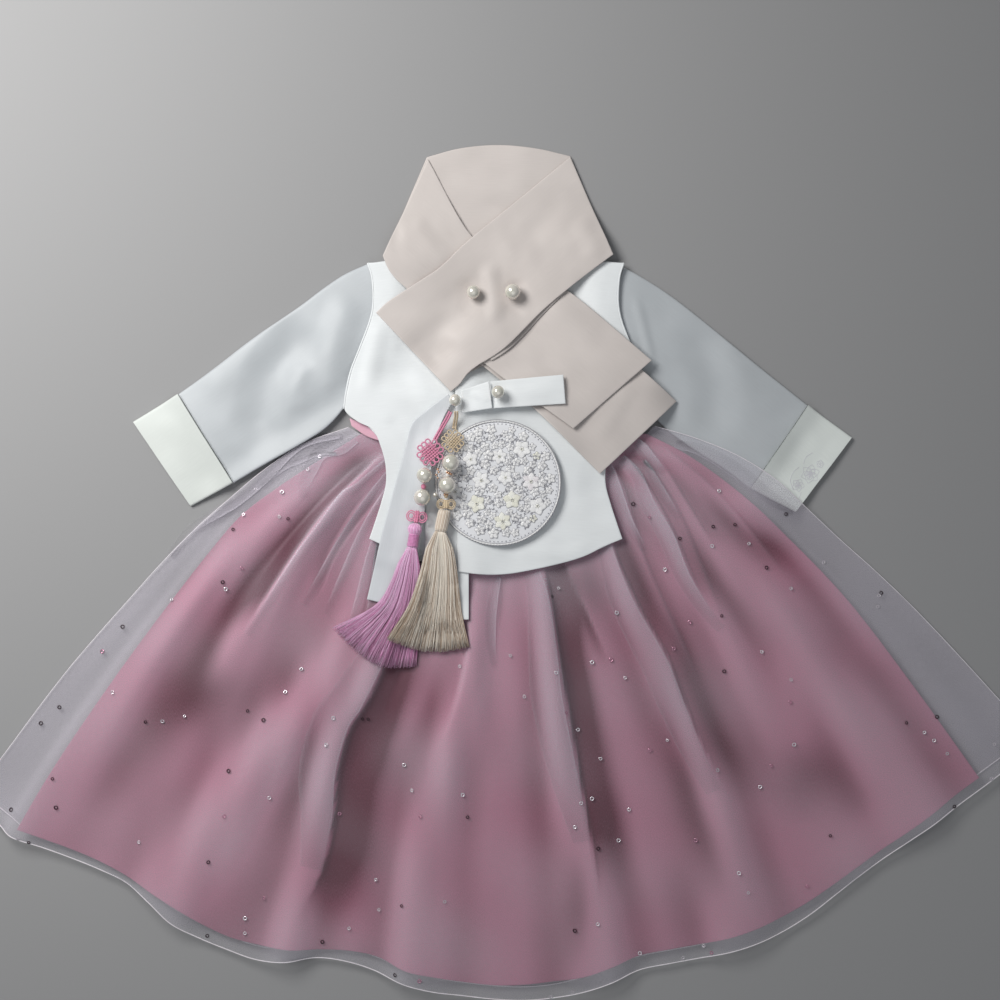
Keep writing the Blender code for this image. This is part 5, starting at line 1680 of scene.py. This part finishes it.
def make_patch(materials):
    """The round patch: a padded ground in a corded rim, strewn with blossoms, stems and leaves."""
    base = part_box("embroidered_patch")[0].z / MM
    level = base + PATCH_PADDING
    make_patch_ground(base, level, materials["patch"])
    make_patch_rim(level, materials)
    chance = np.random.default_rng(PATCH_SEED)
    blossoms = scatter_blossoms(level, chance)
    stems = scatter_stems(level + 0.36, chance)
    blossoms.finish("patch_blossoms", [materials[name] for name in FLOSSES], "patch")
    stems.finish("patch_stems", [materials["silver_floss"]], "patch")


# Blossoms stitched in outline on the right cuff: centre, radius, petals and turn.
CUFF_BLOSSOM_COLUMNS = ("centre", "radius", "petals", "turn")
CUFF_BLOSSOMS = (
    ((280, 8), 8.5, 6, 0.3),
    ((280, 8), 5.4, 5, 0.8),
    ((280, 8), 2.8, 5, 0.2),
    ((269, -2), 5.8, 5, 1.1),
    ((269, -2), 3.2, 5, 0.5),
    ((289, 17), 3.6, 5, 0.1),
)
CUFF_SPRIGS = (
    ((265, -6), (262, 2), (265, 10), (270, 14)),
    ((272, -8), (270, -13), (266, -15)),
    ((274, 17), (276, 23), (282, 27)),
)


def make_cuff_flower(materials):
    """Blossoms and sprigs stitched tone on tone on the right cuff."""
    routes = []
    for blossom in rows_of(CUFF_BLOSSOMS, CUFF_BLOSSOM_COLUMNS):
        width = 1.8 * blossom["radius"] * math.sin(math.pi / blossom["petals"])
        for angle in blossom["turn"] + full_turn(blossom["petals"]):
            petal = petal_outline(blossom["centre"], angle, blossom["radius"], width, 14)
            routes.append((petal, 0.2, True))
    for sprig in CUFF_SPRIGS:
        routes.append((smooth_curve(sprig, 14), 0.22, False))
    tree = tree_of("cuff_right_cloth")
    stitched = Joined()
    for plan, radius, closed in routes:
        route = np.column_stack([plan, heights_on(tree, plan) + 0.05])
        stitched.tube(route, radius, 5, closed=closed, shade=1.0)
    return stitched.finish("cuff_right_stitched_flower", [materials["silver_floss"]], "cuff")


# ---- Pearls and hanging ornaments ----

BUTTON_PEARLS = ("scarf_pearl_left", "scarf_pearl_right", "tab_pearl", "knot_pearl")
LATTICE_STRAND = 0.31

# One hanging ornament each. Lines run from the top down. "lattice" is centre, pitch and turn,
# "butterfly" is centre, loop radius, length and turn, and "wrapped" is the bound part of the tassel's
# head with the turns of its binding. "light" is painted light: how much lighter strands are painted
# on the left, towards the lamp, and a painted highlight along the middle. "fade" is the lightness at
# the neck and how much of it is lost by the tips.
NORIGAE = (
    {
        "name": "pink",
        "cord": ((-42, 63), (-45, 57), (-51, 47), (-56, 38)),
        "lattice": ((-60, 27), 2.2, 40),
        "butterfly": ((-72, -30), 4.0, 10.0, 82),
        "head": ((-72.8, -36), (-76, -57)),
        "head_profile": (
            (0.0, 1.2), (0.04, 3.4), (0.12, 5.3), (0.24, 6.2), (0.36, 5.6), (0.46, 4.3),
            (0.56, 4.2), (0.75, 4.3), (0.95, 4.5), (1.0, 4.0),
        ),
        "wrapped": (0.48, 0.98, 9),
        "left": ((-81, -58), (-88, -70), (-96, -90), (-110, -110), (-148, -130)),
        "right": ((-71, -58), (-69, -80), (-70, -110), (-72, -140), (-74, -165)),
        "bottom_bow": 14,
        "strands": 820,
        "light": (0.22, 0.0),
        "fade": (0.12, 0.20),
        "seed": 31,
    },
    {
        "name": "beige",
        "cord": ((-37, 63), (-37, 59), (-38, 54), (-39, 48)),
        "lattice": ((-40, 37), 1.87, 48),
        "butterfly": ((-46, -19), 3.6, 7.0, 88),
        "head": ((-47, -24), (-51, -43)),
        "head_profile": (
            (0.0, 2.0), (0.03, 4.4), (0.08, 5.3), (0.2, 5.6), (0.6, 5.6), (0.9, 5.4), (1.0, 4.6),
        ),
        "wrapped": None,
        "left": ((-56, -44), (-64, -58), (-69, -80), (-80, -110), (-99, -140)),
        "right": ((-46, -44), (-40, -58), (-36, -85), (-33, -115), (-26, -147)),
        "bottom_bow": 8,
        "strands": 960,
        "light": (0.0, 0.10),
        "fade": (0.30, 0.26),
        "seed": 47,
    },
)

# Points along the cord and its radius, and the grid of a tassel's head, strands and side edges.
CORD_STEPS = 24
CORD_RADIUS = 0.95
HEAD_STEPS = 40
HEAD_THREADS = 26
TASSEL_STEPS = 14
TASSEL_EDGE_STEPS = 41
STRAND_RADIUS = 0.335

# Each strand: how evenly its place is drawn across, how much it leans to the lower layers, the share
# of long strands, both ranges of length, how it wanders and drifts sideways, and its own lightness.
PLACE_POWER = 0.92
LAYER_POWER = 0.8
LONG_STRANDS = 0.85
LONG_LENGTHS = (0.955, 1.0)
SHORT_LENGTHS = (0.86, 0.97)
STRAND_WANDER = 0.012
STRAND_DRIFT = 0.02
STRAND_LIGHTNESS = 0.28

# The fringe: where it has opened to its full width, how thick it is at the neck and how much of that
# it loses by the tips, and from where to where it settles down on the cloth.
FRINGE_OPEN = 0.16
FRINGE_THICK = 6.8
FRINGE_LOST = 3.4
FRINGE_SETTLE = (0.02, 0.5)

# Small beads strung between the pearls: x, y, radius, and 0 for gold or 1 for pearl.
FILLER_BEADS = (
    (-43.4, 8.6, 1.5, 0), (-41.6, 7.6, 1.2, 0), (-45.2, 9.2, 1.1, 0), (-47.2, -10.6, 1.3, 0),
    (-45.0, -10.9, 1.1, 0), (-55.8, -10.8, 2.1, 1), (-53.6, 12.0, 1.2, 0), (-52.4, 9.4, 1.0, 0),
    (-54.8, 7.0, 1.1, 0), (-53.4, 4.4, 0.9, 0),
)


def node_ball(name):
    """Centre and radius of a round solid, in millimetres."""
    low, high = (np.array(corner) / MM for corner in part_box(name))
    return (low + high) / 2, (high - low)[0] / 2


def make_pearl(name, materials):
    """A pearl with a fine gold cup below it."""
    centre, radius = node_ball(name)
    pearl = Joined()
    pearl.ball(centre, radius * 1.01, 40, 26)
    for bead in circle(1.0, full_turn(10), -0.62):
        pearl.ball(centre + radius * 0.86 * bead, radius * 0.16, 6, 4, 1)
    return pearl.finish(f"{name}_bead", [materials["pearl"], materials["gold"]], "pearl", [name])


def lattice_loop(pitch, offset, turn, centre, height):
    """One closed loop of a lattice knot: two strands side by side, joined in an ear at each end."""
    reach = 3.0 * pitch
    run = np.linspace(-reach, reach, 31)
    bulb = np.linspace(-0.72 * math.pi, 0.72 * math.pi, 15)
    out, across = reach + pitch * (1.0 + 0.95 * np.cos(bulb)), 0.95 * pitch * np.sin(bulb)
    x = np.concatenate([run, out, run[::-1], -out])
    y = np.concatenate([np.full(31, -pitch / 2), across, np.full(31, pitch / 2), -across])
    weave = np.cos(math.pi * (x / pitch - 0.5)) * np.sign(y)
    lift = np.where(np.abs(x) < reach, 0.26 * pitch * weave, 0.0)
    plan = rotated(np.column_stack([x, y + offset]), math.radians(turn)) + centre
    return np.column_stack([plan, height + lift])


def make_lattice(ornament, silk):
    """A flat lattice knot: three loops each way, woven over and under, with an ear at each end."""
    centre, pitch, turn = ornament["lattice"]
    node = f"{ornament['name']}_lattice_knot"
    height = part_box(node)[0].z / MM + 2.0
    knot = Joined()
    for family in (0, 1):
        for offset in (-2 * pitch, 0.0, 2 * pitch):
            loop = lattice_loop(pitch, offset, turn + 90 * family, centre, height)
            knot.tube(loop, LATTICE_STRAND * pitch, 7, closed=True, shade=0.4 + 0.2 * family)
    return knot.finish(f"{node}_rope", [silk], slot_of(silk), [node])


def make_butterfly(ornament, silk):
    """A butterfly knot: a ring loop on each side of a short plaited middle."""
    centre, ring, length, turn = ornament["butterfly"]
    node = f"{ornament['name']}_butterfly_knot"
    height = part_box(node)[0].z / MM + 1.9
    knot = Joined()
    spin = math.radians(turn)
    along = np.array((math.cos(spin), math.sin(spin)))
    across = np.array((-along[1], along[0]))
    angles = full_turn(26)
    loop = np.cos(angles)[:, None] * across + np.sin(angles)[:, None] * along * 1.15
    for side in (-1, 1):
        for wide, lift in ((1.0, 0.0), (0.62, 0.4)):
            plan = centre + across * side * (ring * 1.25) + ring * wide * loop
            heights = height + 0.25 * np.sin(2 * angles) + lift
            knot.tube(np.column_stack([plan, heights]), 0.62, 6, closed=True, shade=0.5)
    run = np.linspace(-0.5, 0.5, 40)
    for strand in range(3):
        phase = run * 2 * math.pi * 2.5 + strand * 2 * math.pi / 3
        plan = centre + along * run[:, None] * length + across * (1.4 * np.sin(phase))[:, None]
        heights = height + 0.4 + 0.6 * np.sin(2 * phase)
        knot.tube(np.column_stack([plan, heights]), 0.72, 6, shade=0.35 + 0.15 * strand)
    return knot.finish(f"{node}_rope", [silk], slot_of(silk), [node])


def make_cord(ornament, silk, ground):
    """The doubled cord that the ornament hangs from."""
    node = f"{ornament['name']}_cord"
    low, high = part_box(node)
    route = smooth_curve(ornament["cord"], CORD_STEPS)
    across = sideways(route)
    heights = np.linspace(high.z, low.z, CORD_STEPS) / MM
    heights = np.maximum(heights - 1.0, ground.at(route) + 0.9)
    cord = Joined()
    for side in (-1, 1):
        plan = route + across * side * 1.05
        cord.tube(np.column_stack([plan, heights]), CORD_RADIUS, 7, shade=0.5 + 0.1 * side)
    return cord.finish(f"{node}_strands", [silk], slot_of(silk), [node])


def read_along(knots, shares):
    """Points at shares of a line's length, from points evenly spaced on it."""
    where = np.linspace(0, 1, len(knots))
    return np.column_stack([np.interp(shares, where, axis) for axis in knots.T])


def add_tassel_head(tassel, ornament, top, neck, across, level):
    """The bound head: its body, threads laid over it from end to end, and the binding at its neck."""
    shares, widths = np.array(ornament["head_profile"]).T
    fine = np.linspace(0, 1, HEAD_STEPS)
    radii = np.interp(fine, shares, widths)
    route = np.column_stack([top + fine[:, None] * (neck - top), np.full(HEAD_STEPS, level)])
    tassel.tube(route, radii, 28, kind=1, shade=0.6)
    for thread, angle in enumerate(full_turn(HEAD_THREADS)):
        way = np.array((*(across * math.cos(angle)), math.sin(angle)))
        tassel.tube(route + way * (radii * 0.99)[:, None], 0.34, 4, kind=1, shade=0.7 + 0.3 * (thread % 2))
    if ornament["wrapped"]:
        start, end, turns = ornament["wrapped"]
        wound = np.linspace(0, 1, turns * 16)
        place = start + (end - start) * wound
        reach = np.interp(place, fine, radii) + 0.22
        angle = wound * turns * 2 * math.pi
        plan = top + place[:, None] * (neck - top) + across * (reach * np.cos(angle))[:, None]
        tassel.tube(np.column_stack([plan, level + reach * np.sin(angle)]), 0.5, 5, kind=1, shade=0.5)
    return widths[-1] * 0.92


def make_tassel(ornament, silk, thread, ground):
    """A tassel: a bound head and hundreds of fine strands that fan out from its neck."""
    top, neck = (np.array(place, float) for place in ornament["head"])
    way = (neck - top) / np.linalg.norm(neck - top)
    across = np.array((-way[1], way[0]))
    across = across if across[0] > 0 else -across
    level = float(ground.at(np.array([top, (top + neck) / 2, neck])).max()) + 5.4
    tassel = Joined()
    root_width = add_tassel_head(tassel, ornament, top, neck, across, level)
    chance = np.random.default_rng(ornament["seed"])
    steps = np.linspace(0, 1, TASSEL_STEPS)
    edges = [smooth_curve(ornament[side], TASSEL_EDGE_STEPS) for side in ("left", "right")]
    left_painted_light, middle_painted_highlight = ornament["light"]
    neck_light, lost_light = ornament["fade"]
    for _ in range(ornament["strands"]):
        place = chance.random()
        place = 0.5 + 0.5 * np.sign(place - 0.5) * abs(2 * place - 1) ** PLACE_POWER
        layer = chance.random() ** LAYER_POWER
        length = chance.uniform(*(LONG_LENGTHS if chance.random() < LONG_STRANDS else SHORT_LENGTHS))
        along = steps * length
        left, right = (read_along(edge, along) for edge in edges)
        wander = chance.normal(0, STRAND_WANDER) * np.sin(steps * math.pi * chance.uniform(0.7, 1.6))
        drift = chance.normal(0, STRAND_DRIFT) * steps**2
        share = np.clip(place + wander + drift, -0.01, 1.01)
        plan = left + (right - left) * share[:, None]
        plan[:, 1] -= ornament["bottom_bow"] * along**3 * np.sin(math.pi * np.clip(share, 0, 1))
        mound = np.sqrt(np.clip(1 - (2 * share - 1) ** 2, 0, 1))
        root = neck + across * (2 * place - 1) * root_width - way * 1.0
        opening = ramp(along, 0.0, FRINGE_OPEN)[:, None]
        plan = root * (1 - opening) + plan * opening + way * 9.0 * (along[:, None] * (1 - opening))
        thick = FRINGE_THICK - FRINGE_LOST * along
        laid = ground.at(plan) + 0.6 + thick * layer * (0.25 + 0.75 * mound)
        sprung = level + (2 * layer - 1) * root_width * math.sqrt(max(0.0, 1 - (2 * place - 1) ** 2))
        settle = ramp(along, *FRINGE_SETTLE)
        heights = sprung * (1 - settle) + laid * settle
        # Painted light and shade: strands higher in the pile, on the left and along the middle are painted
        # lighter and lower ones darker, besides each strand's own random tone and the fade to the tips.
        light = left_painted_light * (1 - 2 * place) + middle_painted_highlight * (1 - 2 * abs(2 * place - 1))
        light += chance.normal(0, STRAND_LIGHTNESS) + neck_light - lost_light * steps
        shade = 0.12 + 0.55 * layer + light
        radius = STRAND_RADIUS * (1 - 0.35 * steps)
        shades = np.repeat(np.clip(shade, 0, 1), 3)
        tassel.tube(np.column_stack([plan, heights]), radius, 3, kind=1, shade=shades)
    node = f"{ornament['name']}_tassel"
    tassel.finish(f"{node}_threads", [silk, thread], slot_of(thread), [node])
    ground.lay(np.vstack(tassel.points))


def make_fillers(materials):
    """Tiny rose-gold and pearl beads strung between the two ornaments' pearls."""
    beads = Joined()
    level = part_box("beige_pearl_2")[0].z / MM
    for x, y, radius, kind in FILLER_BEADS:
        beads.ball((x, y, level + 2.4), radius, 10, 7, kind)
    return beads.finish("norigae_filler_beads", [materials["gold"], materials["pearl"]], "pearl")


def make_spacer(name, silk):
    """A small bead wound with thread."""
    centre, radius = node_ball(name)
    bead = Joined()
    bead.ball(centre, radius * 0.9, 14, 10)
    wound = np.linspace(0, 1, 90)
    angle = wound * 2 * math.pi * 6
    polar = 0.35 + wound * (math.pi - 0.7)
    coil = centre + radius * 0.95 * np.column_stack([
        np.sin(polar) * np.cos(angle), np.cos(polar), np.sin(polar) * np.sin(angle),
    ])
    bead.tube(coil, 0.3, 5)
    return bead.finish(f"{name}_bead", [silk], slot_of(silk), [name])


def make_ornaments(materials):
    for name in BUTTON_PEARLS:
        make_pearl(name, materials)
    under = [
        "organza_front_cloth", "jacket_under_front_cloth", "jacket_over_front_cloth", "tie_short_tail_cloth",
        "tie_long_tail_cloth", "patch_ground", "tie_knot_wrap_cloth",
    ]
    ground = Ground((-165, -185), (-10, 75), under)
    for ornament in NORIGAE:
        name = ornament["name"]
        silk, thread = materials[f"{name}_silk"], materials[f"{name}_thread"]
        make_cord(ornament, silk, ground)
        make_lattice(ornament, silk)
        make_butterfly(ornament, silk)
        make_spacer(f"{name}_spacer", silk)
        for index in (1, 2):
            make_pearl(f"{name}_pearl_{index}", materials)
        make_tassel(ornament, silk, thread, ground)
    make_fillers(materials)


# ---- Stage ----

FLOOR_HALF = 3000
# Lights: name, place, what each points at, width, power and colour.
LIGHTS = (
    ("key", (-0.72, 0.62, 0.88), (-0.70, 0.24, 0), 0.75, 16, (1.0, 0.985, 0.96)),
    ("fill", (0.3, -0.9, 1.9), (0, 0, 0), 2.2, 5.5, (0.95, 0.97, 1.0)),
)
SKY_COLOUR = (0.93, 0.96, 1.0)
SKY_STRENGTH = 0.20
CAMERA_PLACE = (0.0018, -0.0153, 1.6)
CAMERA_SENSOR = 36
CAMERA_LENS = 64


def add_area_light(name, place, target, size, power, colour):
    light = bpy.data.lights.new(name, "AREA")
    light.shape = "DISK"
    light.size = size
    light.energy = power
    light.color = colour
    obj = bpy.data.objects.new(name, light)
    obj.location = place
    obj.rotation_euler = (Vector(target) - Vector(place)).to_track_quat("-Z", "Y").to_euler()
    obj.visible_camera = False
    bpy.context.scene.collection.objects.link(obj)


def make_stage():
    """A plain pale floor, soft light from the upper left, and the camera straight above."""
    corners = [(x * FLOOR_HALF, y * FLOOR_HALF, 0) for x, y in ((-1, -1), (1, -1), (1, 1), (-1, 1))]
    floor = add_object("floor", corners, [(0, 1, 2, 3)], [plain_material("floor", FLOOR_GREY, 0.85)])
    for row in LIGHTS:
        add_area_light(*row)
    world = bpy.data.worlds.new("studio")
    world.use_nodes = True
    sky = world.node_tree.nodes["Background"].inputs
    sky["Color"].default_value = (*SKY_COLOUR, 1)
    sky["Strength"].default_value = SKY_STRENGTH
    bpy.context.scene.world = world
    camera_data = bpy.data.cameras.new("camera")
    camera_data.sensor_width = CAMERA_SENSOR
    camera_data.lens = CAMERA_LENS
    camera = bpy.data.objects.new("camera", camera_data)
    camera.location = CAMERA_PLACE
    bpy.context.scene.collection.objects.link(camera)
    bpy.context.scene.camera = camera
    bpy.context.scene.view_settings.view_transform = "Standard"


# ---- The cloth as it was cut ----


def main():
    materials = make_materials()
    made, skirt_plan, skirt_top = make_skirt(materials)
    band = strip_grid(WAISTBAND_TOP, WAISTBAND_LOW, 3, 18)
    made["waistband"] = cloth("waistband", band, (16, 90), SATIN_SHELL, materials["waistband"])
    left = ("left", ARMHOLE, LEFT_SLEEVE_TOP, LEFT_SLEEVE_LOW, LEFT_CUFF_END)
    right = ("right", mirrored(ARMHOLE), RIGHT_SLEEVE_TOP, RIGHT_SLEEVE_LOW, RIGHT_CUFF_END)
    made.update(make_sleeve(*left, materials, 36, 20))
    made.update(make_sleeve(*right, materials, -40, 24))
    made.update(make_jacket(materials))
    made.update(make_strips(materials))
    make_armhole_seams(materials)
    for piece in (
        make_hem_roll("organza_hem_roll", skirt_plan, skirt_top, materials["hem_thread"]),
        make_back_roll(materials["hem_thread"]),
        make_plies(materials["organza"]),
        make_sequins(skirt_plan, skirt_top, materials),
        make_cuff_flower(materials),
        make_scarf_ply(materials["scarf"]),
    ):
        made[piece.name] = piece
    make_patch(materials)
    make_ornaments(materials)
    make_stage()


main()
